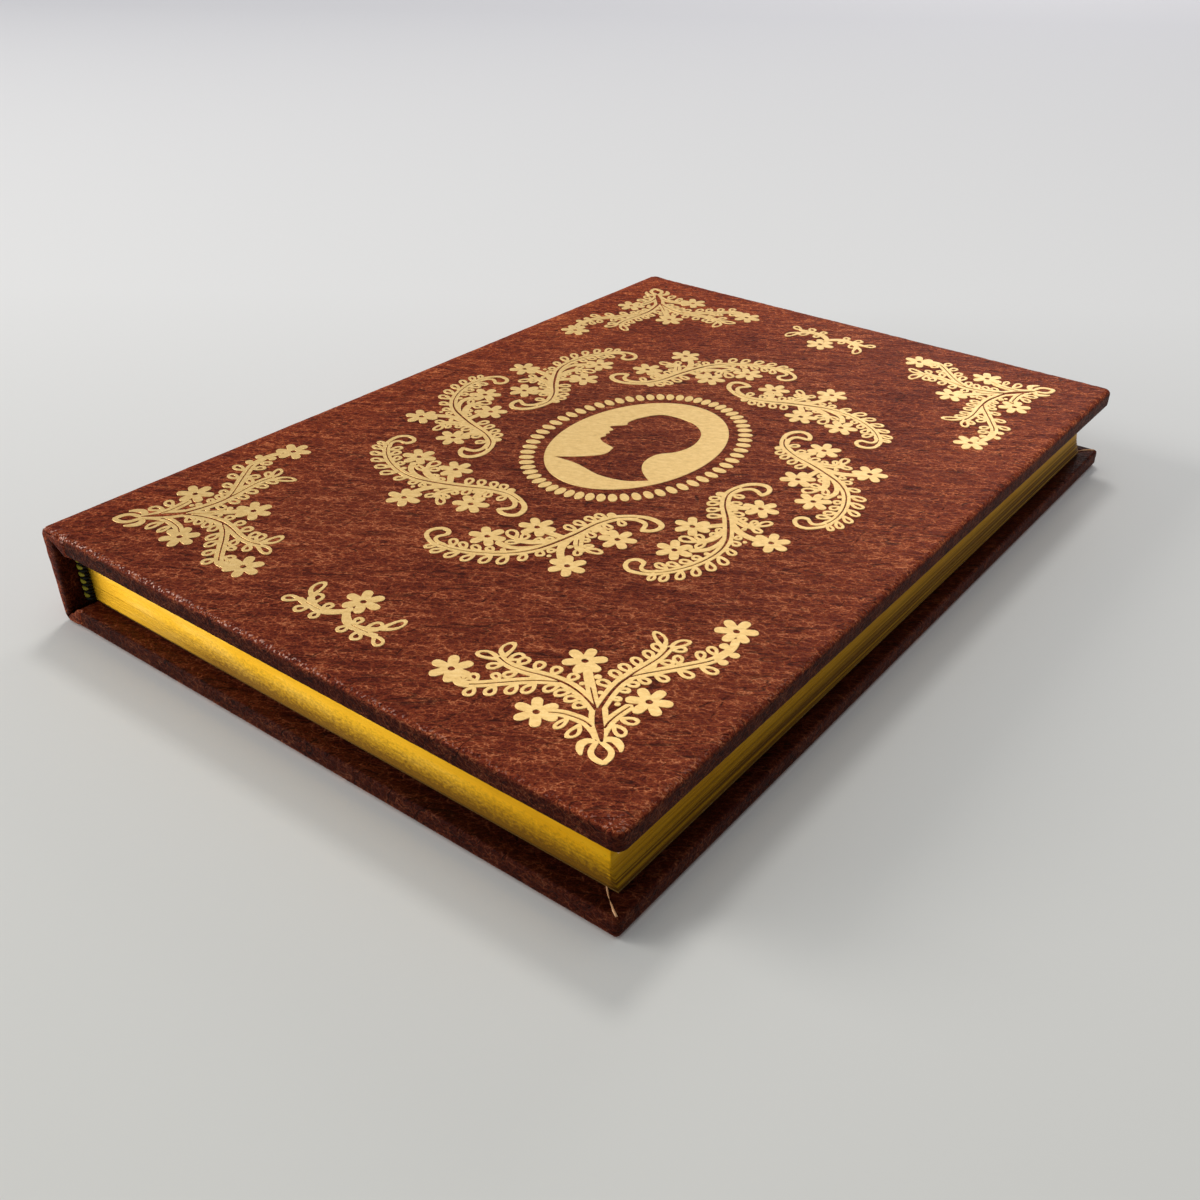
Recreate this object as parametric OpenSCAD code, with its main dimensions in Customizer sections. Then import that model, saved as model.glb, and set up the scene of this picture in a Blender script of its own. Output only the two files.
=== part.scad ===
// Antique leather book lying on its back cover: a block of gilt-edged pages between two boards covered in one
// leather, with gold tooling on the front.
// +X runs from the spine to the fore-edge, +Y from tail to head, +Z up.
// The origin is under the book's middle.

/* [Covers] */
// Height of the covers, from tail to head
cover_h = 235; // [215:1:300]
// Width of the closed book, from the spine to the fore-edge of the covers
cover_w = 159; // [150:1:220]
// Thickness of the board inside each cover
board_t = 3; // [2:0.1:5]
// Thickness of the leather
leather_t = 0.8; // [0.6:0.1:1.2]
// Thickness of the leather where it is pared and turned in
turn_in_t = 0.5; // [0.3:0.1:0.8]
// Width of the turned-in leather round the inside of a cover
turn_in_w = 14; // [8:1:25]
// Radius of the board corners, seen from above
corner_r = 3; // [1.5:0.5:8]
// Radius of the corners at the joint, seen from above
joint_corner_r = 0.5; // [0.2:0.1:1]
// Radius of the outer edges of the covers
outer_edge_r = 1.4; // [0.8:0.1:2]
// Radius of the inner edges of the covers
inner_edge_r = 0.7; // [0.3:0.1:1.2]
// Thickness of the paper pasted inside each cover
pastedown_t = 0.3; // [0.1:0.05:0.3]

/* [Spine and joints] */
// Width of each shoulder, from the spine's outer face to the joint
shoulder_w = 5.2; // [4.5:0.1:9]
// Radius of the spine's outer corners
shoulder_r = 3; // [2:0.1:4]
// Radius of the leather where it rolls into the joint
joint_r = 1.1; // [0.6:0.1:1.5]
// Height of the leather lips that turn down into the joints
lip_h = 1.9; // [1.6:0.1:2.5]
// Thickness of the card that stiffens the spine
spine_card_t = 1; // [0.6:0.1:1.5]
// Length of the leather turned in at the head and tail of the spine
spine_turn_in = 12; // [6:1:20]
// Depth of the hollow between the spine and the pages
hollow_w = 3.2; // [2:0.1:6]
// Clearance between a cover and the shoulder beside it
joint_gap = 0.3; // [0.2:0.05:0.5]
// Clearance between a cover and the flyleaf under it
cover_gap = 0.3; // [0.2:0.05:0.5]

/* [Pages] */
// Thickness of the block of pages
pages_t = 14.4; // [12:0.2:60]
// Distance from the fore-edge of the covers to the pages
fore_square = 4; // [2:0.5:8]
// Distance from the head or tail of the covers to the pages
head_square = 5.5; // [4:0.5:8]
// Depth of the hollow curve along the fore-edge
fore_edge_dip = 1.6; // [0.4:0.1:3]
// Height of the flat rim above and below that curve
fore_edge_rim = 0.4; // [0.2:0.1:1]
// Thickness of each flyleaf
flyleaf_t = 0.2; // [0.1:0.05:0.4]
// Thickness of the lining glued along the back of the pages
lining_t = 0.5; // [0.3:0.1:1]

/* [Head and tail bands] */
// Radius of the thread wound round each band
band_r = 1.6; // [1.2:0.1:2.2]
// Radius of the band between two windings
band_core_r = 1.3; // [0.8:0.1:1.5]
// Number of windings on each band
band_turns = 15; // [7:1:25]
// Length of the tape that holds each band, down the back of the pages
band_tape = 9; // [5:1:15]

/* [Gold tooling] */
// Thickness of the gold foil
foil_t = 0.1; // [0.05:0.05:0.2]
// Distance from the middle of the cover to the middle of the tooling, towards the spine
tooling_shift = 2.3; // [0:0.1:3]
// Distance from the fore-edge of the cover to the tips of the corner sprays
spray_in_x = 12.9; // [10:0.1:20]
// Distance from the head or tail of the cover to the tips of the corner sprays
spray_in_y = 12.4; // [10:0.1:20]
// Distance from the head or tail of the cover to the foot of its sprig
sprig_in = 17.4; // [14:0.1:25]
// Length of a corner spray, which sets the size of the curves in every spray
spray_l = 48.8; // [44:0.1:50]
// Distance from the middle of the tooling to the middle of the medallion, towards the spine
medallion_shift_x = 1.2; // [0:0.1:2]
// Distance from the middle of the tooling to the middle of the medallion, towards the head
medallion_shift_y = 1.9; // [0:0.1:2.5]
// Half width of the medallion
oval_x = 20.1; // [14:0.1:21]
// Half height of the medallion
oval_y = 28.9; // [20:0.1:29.5]
// Half width of the ring of beads
ring_x = 24.5; // [23.6:0.1:26]
// Half height of the ring of beads
ring_y = 33.3; // [32.4:0.1:35]
// Number of beads in the ring
bead_count = 62; // [40:1:70]
// Length of a bead, across the ring
bead_l = 3.7; // [2:0.1:4]
// Width of a bead, along the ring
bead_w = 2; // [1:0.1:2.2]
// Half width of the oval on which the wreath sprays lie, as a share of the cover's width
wreath_share_x = 0.2818; // [0.27:0.0001:0.3]
// Half height of that oval, as a share of the cover's height
wreath_share_y = 0.2204; // [0.21:0.0001:0.23]
// Radius of a flower
flower_r = 4.4; // [3:0.1:4.8]
// Radius of the eye in a flower
flower_eye_r = 0.7; // [0.4:0.05:1]
// Width of a stem
stem_w = 1.9; // [0.8:0.1:2.2]
// Length of a leaf
leaf_l = 3.7; // [2:0.1:4.2]
// Width of a leaf
leaf_w = 2.3; // [1:0.1:2.6]

/* [Hidden] */
CORNERS = 4;
WREATH = 8;

$fn = 48;
// Overrun of a cut past the face it opens
over = 1;

// Heights of the layers, from the resting face up
cover_t = leather_t + board_t + turn_in_t;
block_z = cover_t + cover_gap;
pages_z = block_z + flyleaf_t;
book_t = 2 * block_z + 2 * flyleaf_t + pages_t;

// Places from the spine to the fore-edge
spine_x = -cover_w / 2;
fore_x = cover_w / 2;
joint_x = spine_x + shoulder_w;
cover_x = joint_x + joint_gap;
spine_wall = leather_t + spine_card_t + turn_in_t;
lining_x = spine_x + spine_wall + hollow_w;
pages_x0 = lining_x + lining_t;
pages_x1 = fore_x - fore_square;
pages_h = cover_h - 2 * head_square;

// Places of the tooling, from its middle
corner_x = fore_x + tooling_shift - spray_in_x;
corner_y = cover_h / 2 - spray_in_y;
sprig_y = cover_h / 2 - sprig_in;
wreath_x = wreath_share_x * cover_w;
wreath_y = wreath_share_y * cover_h;
// Size of a millimetre in the sprays and in the bust, whose points are written for these lengths
mm = spray_l / 48.8;
bust_mm = oval_y / 28.9;
// Overlap that joins the touching shapes of one motif
join = 0.01;

// Colours
LEATHER = [0.36, 0.13, 0.08];
BOARD = [0.55, 0.5, 0.42];
CARD = [0.62, 0.57, 0.48];
PAPER = [0.93, 0.89, 0.78];
GILT_EDGE = [0.86, 0.64, 0.2];
GOLD = [0.87, 0.67, 0.35];
SILK = [0.6, 0.62, 0.16];

// Extrudes a profile drawn in X and Z along the book's height, centred
module along_y(length) {
    rotate([90, 0, 0]) linear_extrude(length, center = true) children();
}

// Extrudes a profile drawn in Y and Z along the book's width, between two places
module along_x(x0, x1) {
    translate([x0, 0, 0]) rotate([90, 0, 90]) linear_extrude(x1 - x0) children();
}

// Rectangle between two corners, with a radius for each: low left, low right, top right, top left
module rounded(x0, y0, x1, y1, r) {
    corners = [[x0, y0, 1, 1], [x1, y0, -1, 1], [x1, y1, -1, -1], [x0, y1, 1, -1]];
    difference() {
        translate([x0, y0]) square([x1 - x0, y1 - y0]);
        for (i = [0:3])
            translate([corners[i][0], corners[i][1]])
                scale_sign(corners[i][2], corners[i][3])
                    corner_waste(r[i]);
    }
}

// What is cut away outside one rounded corner
module corner_waste(r) {
    difference() {
        translate([-over, -over]) square(r + over);
        translate([r, r]) circle(r);
    }
}

// Mirrors a flat shape across either axis
module scale_sign(sx, sy) {
    mirror([sx < 0 ? 1 : 0, 0]) mirror([0, sy < 0 ? 1 : 0]) children();
}

// Turns the back cover's shape, drawn outside down, into the front cover's
module front() {
    translate([0, 0, book_t]) mirror([0, 0, 1]) children();
}

// Board of a cover, outside down
module board() {
    r = corner_r - leather_t;
    h = cover_h - 2 * leather_t;
    translate([0, 0, leather_t])
        linear_extrude(board_t)
            rounded(
                cover_x + leather_t, -h / 2, fore_x - leather_t, h / 2, [joint_corner_r, r, r, joint_corner_r]);
}

// The place inside the turned-in leather, where the pastedown lies on the board
module pastedown_shape(t) {
    x0 = cover_x + turn_in_w / 2;
    translate([x0, -cover_h / 2 + turn_in_w, leather_t + board_t])
        cube([fore_x - turn_in_w - x0, cover_h - 2 * turn_in_w, t]);
}

// Leather wrapped round a board and turned in, outside down
module cover_leather() {
    o = outer_edge_r;
    i = inner_edge_r;
    difference() {
        intersection() {
            along_y(cover_h) rounded(cover_x, 0, fore_x, cover_t, [joint_r, o, i, i]);
            along_x(cover_x - over, fore_x + over)
                rounded(-cover_h / 2, 0, cover_h / 2, cover_t, [o, o, i, i]);
            linear_extrude(cover_t)
                rounded(cover_x, -cover_h / 2, fore_x, cover_h / 2, [i, corner_r, corner_r, i]);
        }
        board();
        pastedown_shape(turn_in_t + over);
    }
}

// Outline of the spine in X and Z, inset by a depth
module spine_outline(depth) {
    r = max(shoulder_r - depth, 0.2);
    j = max(joint_r - depth, 0.2);
    rounded(spine_x + depth, depth, joint_x - depth, book_t - depth, [r, j, j, r]);
}

// Opening of the spine towards the pages, between the lips at the joints
module spine_mouth() {
    translate([joint_x - 2 * leather_t, lip_h]) square([2 * leather_t + over, book_t - 2 * lip_h]);
}

module spine_card() {
    color(CARD)
        translate([spine_x + leather_t, -cover_h / 2 + leather_t, shoulder_r])
            cube([spine_card_t, cover_h - 2 * leather_t, book_t - 2 * shoulder_r]);
}

// Leather over the spine and both shoulders, turned in over the card at head and tail
module spine_leather() {
    inside = leather_t + turn_in_t;
    color(LEATHER) difference() {
        union() {
            along_y(cover_h) difference() {
                spine_outline(0);
                spine_outline(leather_t);
                spine_mouth();
            }
            for (s = [-1, 1]) translate([0, s * (cover_h - spine_turn_in) / 2, 0]) along_y(spine_turn_in) {
                difference() {
                    spine_outline(leather_t);
                    spine_outline(inside);
                    spine_mouth();
                }
                translate([spine_x + leather_t, shoulder_r - turn_in_t])
                    square([spine_card_t + turn_in_t, book_t - 2 * shoulder_r + 2 * turn_in_t]);
            }
        }
        spine_card();
    }
}

module page_block() {
    h = pages_t - 2 * fore_edge_rim;
    curve_r = (h * h / 4 + fore_edge_dip * fore_edge_dip) / (2 * fore_edge_dip);
    color(GILT_EDGE) translate([0, 0, pages_z]) along_y(pages_h) difference() {
        translate([pages_x0, 0]) square([pages_x1 - pages_x0, pages_t]);
        translate([pages_x1 + curve_r - fore_edge_dip, pages_t / 2]) circle(curve_r, $fn = 180);
    }
}

// A flyleaf, lying at a height
module flyleaf(z) {
    color(PAPER) translate([pages_x0, -pages_h / 2, z]) cube([pages_x1 - pages_x0, pages_h, flyleaf_t]);
}

module front_flyleaf() {
    flyleaf(pages_z + pages_t);
}

module back_flyleaf() {
    flyleaf(block_z);
}

module spine_lining() {
    h = pages_h - 2 * band_tape;
    color(PAPER) translate([lining_x, -h / 2, pages_z]) cube([lining_t, h, pages_t]);
}

// Band at the head of the pages: a wound thread that bulges over the edge, on a tape glued to their back
module head_band() {
    pitch = pages_t / band_turns;
    color(SILK) translate([0, 0, pages_z]) {
        difference() {
            translate([pages_x0 + band_r, pages_h / 2, 0]) for (i = [0:band_turns - 1]) {
                translate([0, 0, i * pitch]) cylinder(r = band_core_r, h = pitch);
                translate([0, 0, (i + 0.12) * pitch]) cylinder(r = band_r, h = 0.76 * pitch);
            }
            translate([pages_x0 - over, pages_h / 2 - 2 * band_r, -over])
                cube([2 * band_r + 2 * over, 2 * band_r, pages_t + 2 * over]);
        }
        translate([lining_x, pages_h / 2 - band_tape, 0]) cube([lining_t, band_tape, pages_t]);
        translate([lining_x, pages_h / 2, 0]) cube([lining_t + band_r, band_core_r / 2, pages_t]);
    }
}

module tail_band() {
    mirror([0, 1, 0]) head_band();
}

module back_board() {
    color(BOARD) board();
}

module back_leather() {
    color(LEATHER) cover_leather();
}

module back_pastedown() {
    color(PAPER) pastedown_shape(pastedown_t);
}

module front_board() {
    color(BOARD) front() board();
}

module front_leather() {
    color(LEATHER) front() cover_leather();
}

module front_pastedown() {
    color(PAPER) front() pastedown_shape(pastedown_t);
}

// Point between b and c on a smooth curve through a, b, c and d
function between(a, b, c, d, t) =
    (2 * b + (c - a) * t + (2 * a - 5 * b + 4 * c - d) * t * t + (3 * b - a - 3 * c + d) * t * t * t) / 2;

// Point on a smooth curve through the points p, at a share s of the way along
function on_curve(p, s) =
    let (n = len(p) - 1, k = min(floor(s * n), n - 1))
    between(p[max(k - 1, 0)], p[k], p[k + 1], p[min(k + 2, n)], s * n - k);

// Direction of that curve there
function heading(p, s) =
    let (e = 0.02, d = on_curve(p, min(s + e, 1)) - on_curve(p, max(s - e, 0)))
    atan2(d[1], d[0]);

// Point beside that curve, off it by a distance
function beside(p, s, off) =
    on_curve(p, s) + off * [-sin(heading(p, s)), cos(heading(p, s))];

// Line of a width along a smooth curve
module stem(p, w = stem_w, steps = 6) {
    polygon(concat(
        [for (i = [0:steps]) beside(p, i / steps, w / 2)],
        [for (i = [steps:-1:0]) beside(p, i / steps, -w / 2)]
    ));
}

// A leaf with its foot at the origin, pointing along +X
module leaf(l = leaf_l) {
    polygon([[0, leaf_w * 0.15], [0.85 * l, leaf_w / 2], [l, -leaf_w * 0.25], [0, -leaf_w * 0.3]]);
}

// Leaves along a stem from one share of it to another, on the side given by the sign of the angle
module leaves(p, from, to, n, angle, l = leaf_l) {
    for (i = [0:n - 1]) {
        s = from + (to - from) * i / max(n - 1, 1);
        translate(on_curve(p, s)) rotate(heading(p, s) + angle) leaf(l);
    }
}

// A flower of six petals
module flower(turn = 0) {
    r = flower_r;
    rotate(turn) for (a = [0:60:300]) rotate(a)
        polygon([[0.1 * r, -0.15 * r], [0.97 * r, -0.23 * r], [0.97 * r, 0.23 * r], [0.1 * r, 0.15 * r]]);
}

// Flowers at the given places, with an open eye, over whatever stems are drawn
module with_flowers(places) {
    difference() {
        union() {
            children();
            for (i = [0:len(places) - 1]) translate(places[i]) flower(15 * i);
        }
        for (place = places) translate(place) circle(flower_eye_r, $fn = 4);
    }
}

// Lays a flat shape on the front cover as gold foil, about the middle of the tooling
module foil() {
    color(GOLD) translate([-tooling_shift, 0, book_t]) linear_extrude(foil_t) offset(delta = join) children();
}

// Lays a flat shape about the middle of the medallion
module about_medallion() {
    translate([-medallion_shift_x, medallion_shift_y]) children();
}

// Corner spray: the tip of its foot is at the origin and it grows along +X and +Y
CORNER_HEART = mm * [[0, 0], [3, 0.3], [3.9, 2], [4, 4], [2, 3.9], [0.3, 3]];
CORNER_HEART_EYE = mm * [[1.2, 1.2], [2.8, 1.5], [3, 3], [1.5, 2.8]];
CORNER_LOBE = mm * [[3.7, 4.3], [3.6, 1.6], [4.2, -0.4], [5.7, 0.3], [5.5, 2.8]];
CORNER_TRUNK = mm * [[3.4, 3.9], [5.3, 6.2], [7.3, 8.5], [9.8, 11.5]];
CORNER_LONG = mm * [
    [9.4, 10.8], [10.3, 13.7], [11.4, 19], [11.4, 25.2], [10.8, 30.6], [11.1, 35.6], [13.6, 38.8]];
CORNER_LONG_ARM = mm * [[11.4, 22.6], [7.4, 28.9], [4.5, 33.2], [2.2, 37], [1.4, 43], [3.9, 48.5]];
CORNER_LONG_STALK = mm * [[4.6, 5.6], [6.1, 11.4], [3.9, 18.9]];
CORNER_SHORT = mm * [[9.6, 10.9], [13.4, 12.6], [18.5, 13.9], [24.2, 13.3], [30.5, 12], [36.8, 12.8]];
CORNER_SHORT_ARM = mm * [[20.4, 13.6], [26.4, 9.2], [31.2, 4.2], [35, 2.2], [39, 4.3]];
CORNER_SHORT_STALK = mm * [[5.2, 5], [10.6, 7.1], [18, 3.9]];
CORNER_MIDDLE = mm * [[9.8, 11.2], [15.6, 16.5], [21, 21.9]];
CORNER_FLOWERS = mm * [[3.9, 48.5], [3.9, 18.9], [21, 21.9], [18, 3.9], [39, 4.3]];

// Foot of a corner spray: an open heart between two lobes
module corner_foot() {
    difference() {
        polygon(CORNER_HEART);
        polygon(CORNER_HEART_EYE);
    }
    for (s = [0, 1]) mirror([s, -s]) polygon(CORNER_LOBE);
}

module corner_spray_shape() {
    short_leaf = 0.8 * leaf_l;
    with_flowers(CORNER_FLOWERS) {
        corner_foot();
        stem(CORNER_TRUNK, 1.5 * stem_w, 2);
        stem(CORNER_LONG, stem_w, 7);
        stem(CORNER_LONG_ARM, 0.9 * stem_w, 6);
        stem(CORNER_LONG_STALK, stem_w, 2);
        stem(CORNER_SHORT, stem_w, 6);
        stem(CORNER_SHORT_ARM, stem_w, 4);
        stem(CORNER_SHORT_STALK, stem_w, 2);
        stem(CORNER_MIDDLE, stem_w, 1);
        leaves(CORNER_LONG, 0.28, 0.96, 7, -58);
        leaves(CORNER_LONG, 0.66, 0.9, 2, 56, short_leaf);
        leaves(CORNER_LONG, 0.26, 0.26, 1, 66, short_leaf);
        leaves(CORNER_LONG_ARM, 0.08, 0.5, 4, 58);
        leaves(CORNER_LONG_ARM, 0.36, 0.56, 2, -68);
        leaves(CORNER_SHORT, 0.36, 0.96, 6, 84);
        leaves(CORNER_SHORT, 0.74, 0.74, 1, -62, short_leaf);
        leaves(CORNER_SHORT, 0.26, 0.26, 1, -60, short_leaf);
        leaves(CORNER_SHORT_ARM, 0.2, 0.64, 4, -56);
        leaves(CORNER_LONG_STALK, 0.3, 0.46, 2, 80);
        leaves(CORNER_SHORT_STALK, 0.34, 0.54, 2, -88);
    }
}

// One of the four corner sprays, numbered anticlockwise from the head and fore-edge
module gilt_corner_spray(i) {
    sx = i == 1 || i == 4 ? 1 : -1;
    sy = i < 3 ? 1 : -1;
    foil() scale_sign(sx, sy) translate([corner_x, corner_y]) rotate(180) corner_spray_shape();
}

// Wreath spray: an S with a hook at each end, about the middle of its length
WREATH_STEM = mm * [
    [-23, -1.1], [-25.4, -3.4], [-22.2, -6.4], [-16, -6.4], [-9.8, -1.6], [-3, 4.5], [3.2, 8.2], [10, 9.3],
    [17.2, 8.1], [22.8, 5], [24.6, 1], [21.8, -1.4]];
WREATH_FRONT_LEAF = mm * [[-8.4, 1], [-8, 4], [-8.2, 7], [-12.2, 9.2]];
WREATH_BACK_LEAF = mm * [[-3, 3.7], [1.6, 4.5], [5.4, 3.4], [6.6, 0.2]];
WREATH_FLOWERS = mm * [[-16.6, 3.2], [-5.4, 14.7], [1.2, -2.5], [12.2, 1.7]];
WREATH_STALKS = mm * [[-12, -3], [-5.6, 3], [-4.6, 2.2], [5.4, 7.2]];

// Place and turn of each wreath spray about its even place on the oval: they were laid by hand and eye
WREATH_OFF = mm * [
    [1.8, -0.9], [0.2, -0.1], [-1.8, 0.1], [-3.2, 1.2], [1, -0.2], [2.2, -0.4], [0.3, 1.2], [0.1, -0.2]];
WREATH_TURN = [-4, -2.6, 0.9, 3.1, -2.4, -2.2, 4.6, 2.4];

module wreath_spray_shape() {
    short_leaf = 0.8 * leaf_l;
    with_flowers(WREATH_FLOWERS) {
        stem(WREATH_STEM, 1.2 * stem_w, 16);
        stem(WREATH_FRONT_LEAF, stem_w, 2);
        stem(WREATH_BACK_LEAF, stem_w, 2);
        for (i = [0:len(WREATH_STALKS) - 1]) stem([WREATH_STALKS[i], WREATH_FLOWERS[i]], stem_w, 1);
        leaves(WREATH_STEM, 0.27, 0.42, 3, -78);
        leaves(WREATH_STEM, 0.48, 0.8, 7, 54);
        leaves(WREATH_STEM, 0.7, 0.78, 2, -58, short_leaf);
        leaves(WREATH_STEM, 0.28, 0.28, 1, 92, short_leaf);
        leaves(WREATH_FRONT_LEAF, 0.3, 0.3, 1, 88, short_leaf);
        leaves(WREATH_FRONT_LEAF, 0.66, 0.66, 1, -30, short_leaf);
        leaves(WREATH_BACK_LEAF, 0.35, 0.9, 2, -50, short_leaf);
    }
}

// One of the eight wreath sprays, numbered anticlockwise from the fore-edge
module gilt_wreath_spray(i) {
    a = 13.5 + (i - 1) * 360 / WREATH;
    along = atan2(-wreath_y * cos(a), wreath_x * sin(a));
    foil() about_medallion() translate([wreath_x * cos(a), wreath_y * sin(a)]) rotate(along + 19)
        translate(WREATH_OFF[i - 1]) rotate(WREATH_TURN[i - 1]) wreath_spray_shape();
}

// Foot of the tail sprig is at the origin, and its flower points along +Y
SPRIG_STEM = mm * [[0, 1], [3, -1.7], [5.5, -2.2], [7.8, -1.4], [9.6, 0], [11.9, 4.6]];
SPRIG_ARM = mm * [[5.5, -2.2], [9, -2.3], [13, -3.2]];
SPRIG_FLOWER = mm * [0, 5.4];

module sprig_shape() {
    with_flowers([SPRIG_FLOWER]) {
        stem([-0.15 * SPRIG_FLOWER, SPRIG_FLOWER], 0.8 * stem_w, 1);
        for (s = [0, 1]) mirror([s, 0]) {
            stem(SPRIG_STEM, 0.8 * stem_w, 5);
            stem(SPRIG_ARM, 0.8 * stem_w, 1);
            leaves(SPRIG_STEM, 0.4, 0.66, 2, 60);
            leaves(SPRIG_STEM, 0.3, 0.3, 1, -60);
            leaves(SPRIG_ARM, 0.6, 0.6, 1, -70);
        }
    }
}

module gilt_tail_sprig() {
    foil() translate([0, -sprig_y]) sprig_shape();
}

module gilt_head_sprig() {
    foil() mirror([0, 1]) translate([0, -sprig_y]) sprig_shape();
}

// Ring of beads, each drawn out across the ring
module gilt_bead_ring() {
    foil() about_medallion() for (i = [0:bead_count - 1]) {
        a = 360 * i / bead_count;
        translate([ring_x * cos(a), ring_y * sin(a)]) rotate(atan2(ring_x * sin(a), ring_y * cos(a)))
            resize([bead_l, bead_w]) circle(1, $fn = 6);
    }
}

// Bust in profile, facing the spine. A plain classical head: brow, nose and chin a third of the face apart.
FACE_THIRD = 5.6;
BUST_FACE = bust_mm * [
    [-7.6, 2.9 * FACE_THIRD], [-9.3, 2.2 * FACE_THIRD], [-9.8, 1.55 * FACE_THIRD], [-9.1, 1.3 * FACE_THIRD],
    [-12, 0.68 * FACE_THIRD], [-10, 0.48 * FACE_THIRD], [-10.3, 0.2 * FACE_THIRD], [-9.5, 0.08 * FACE_THIRD],
    [-10, -0.12 * FACE_THIRD], [-9.2, -0.3 * FACE_THIRD], [-9.6, -0.62 * FACE_THIRD],
    [-7.6, -0.9 * FACE_THIRD], [-3.4, -1.1 * FACE_THIRD]];
BUST_BODY = bust_mm * [[-3.4, -6.2], [-3, -10.5], [-6.5, -15], [-12, -19.6]];
BUST_BASE = bust_mm * [[-12, -19.6], [-5, -19.2], [3, -20.8], [10, -19.4], [14.4, -15.6]];
BUST_BACK = bust_mm * [
    [14.4, -15.6], [9.8, -12], [7.4, -7.5], [7.6, -2.4], [10.6, 2], [11.6, 8], [9.6, 14.6], [5, 18.8],
    [-1, 19.8], [-5.4, 18.8], [-7.6, 16.24]];

// Points of a smooth curve, without its last one
function smooth(p, steps) = [for (i = [0:steps - 1]) on_curve(p, i / steps)];

module bust_shape() {
    polygon(concat(smooth(BUST_FACE, 24), smooth(BUST_BODY, 4), smooth(BUST_BASE, 6), smooth(BUST_BACK, 14)));
}

// Gold oval with the bust left out of it as bare leather
module gilt_medallion() {
    foil() about_medallion() difference() {
        resize([2 * oval_x, 2 * oval_y]) circle(1, $fn = 72);
        bust_shape();
    }
}

page_block();
front_flyleaf();
back_flyleaf();
spine_lining();
head_band();
tail_band();
spine_card();
spine_leather();
front_board();
front_leather();
front_pastedown();
back_board();
back_leather();
back_pastedown();
gilt_medallion();
gilt_bead_ring();
gilt_head_sprig();
gilt_tail_sprig();
for (i = [1:CORNERS]) gilt_corner_spray(i);
for (i = [1:WREATH]) gilt_wreath_spray(i);
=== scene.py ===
"""Antique leather book on its back cover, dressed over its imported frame. Lengths are in mm until mesh()."""
from math import atan2, copysign, cos, degrees, pi, radians, sin, sqrt
import bmesh
import bpy
import numpy as np
from mathutils import Matrix, Vector
from mathutils.geometry import delaunay_2d_cdt


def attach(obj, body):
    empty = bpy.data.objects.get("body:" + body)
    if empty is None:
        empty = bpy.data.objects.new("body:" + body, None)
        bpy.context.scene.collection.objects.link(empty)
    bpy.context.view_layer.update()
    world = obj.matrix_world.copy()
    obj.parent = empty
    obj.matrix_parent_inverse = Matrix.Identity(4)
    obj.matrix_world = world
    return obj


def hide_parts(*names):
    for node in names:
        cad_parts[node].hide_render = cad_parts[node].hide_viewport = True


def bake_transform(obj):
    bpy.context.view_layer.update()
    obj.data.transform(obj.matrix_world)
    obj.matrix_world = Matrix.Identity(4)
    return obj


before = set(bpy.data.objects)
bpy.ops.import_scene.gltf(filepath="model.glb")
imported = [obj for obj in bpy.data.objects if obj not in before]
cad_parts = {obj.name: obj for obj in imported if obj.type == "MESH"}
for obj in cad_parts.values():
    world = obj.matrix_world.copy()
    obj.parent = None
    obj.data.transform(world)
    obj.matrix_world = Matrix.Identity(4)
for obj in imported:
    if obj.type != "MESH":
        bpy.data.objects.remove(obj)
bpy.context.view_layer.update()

MM = 0.001

# Covers, spine and pages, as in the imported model
COVER_H, BOOK_T, COVER_T = 235.0, 24.0, 4.3
SPINE_X, JOINT_X, COVER_X, FORE_X = -79.5, -74.3, -74.0, 79.5
LEATHER_T, TURN_IN_T = 0.8, 0.5
OUTER_R, INNER_R, JOINT_R, SHOULDER_R = 1.4, 0.7, 1.1, 2.2
TURN_IN, JOINT_TURN_IN, SPINE_TURN_IN = 14.0, 7.0, 12.5
HINGE_X = -74.15
# The spine and the folds of the pages lean out at the top
SPINE_LEAN, PAGES_LEAN = 2.2, 1.0
PAGES_X0, PAGES_X1, PAGES_H, PAGES_Z, PAGES_T = -76.3, 75.5, 224.0, 4.8, 14.4
FORE_EDGE_DIP, FORE_EDGE_RIM = 1.6, 0.4
LINING_X = -76.8
# The head and tail bands, and the points along and round each turn of their thread
BAND_TURNS, THREAD_ROWS, THREAD_SIDES = 16, 15, 8
# The gold tooling lies about TOOLING_X on the front cover, and places in it are given from there
TOOLING_X = -2.3
CORNER_X, CORNER_Y, SPRIG_Y = 68.9, 105.1, 100.1
# Half sizes of the medallion's oval, of the ring of beads round it and of one bead
MEDALLION = np.array([-1.2, 1.9])
OVAL, BEAD_RING, BEAD, BEAD_COUNT = (20.1, 28.9), (24.5, 33.3), (1.9, 1.08), 62
# The wreath sprays lie on an oval round the medallion. Angles are in degrees: the first place, the
# step from one to the next, and how far each spray slants across the oval
WREATH_X, WREATH_Y = 44.8, 51.8
WREATH_FIRST, WREATH_STEP, WREATH_SLANT = 13.5, 45, 19
FOIL_TOP, FOIL_BASE = BOOK_T + 0.1, BOOK_T - 0.25
# Each leather piece carries an attribute of painted light: above 0 it brings pale painted glints, below 0
# painted shade
DEEP_SHADE = -0.8


# Noise and small helpers

def lattice(seed):
    """Smooth noise over a plane, from 0 to 1, one cell to each unit."""
    size = 128
    values = np.random.RandomState(seed).rand(size, size)

    def noise(u, v):
        u, v = np.broadcast_arrays(np.asarray(u, float), np.asarray(v, float))
        i, j = np.floor(u).astype(int), np.floor(v).astype(int)
        s, t = u - i, v - j
        s, t = s * s * (3 - 2 * s), t * t * (3 - 2 * t)
        i, j, i1, j1 = i % size, j % size, (i + 1) % size, (j + 1) % size
        low = values[i, j] * (1 - s) + values[i1, j] * s
        high = values[i, j1] * (1 - s) + values[i1, j1] * s
        return low * (1 - t) + high * t
    return noise


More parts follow.
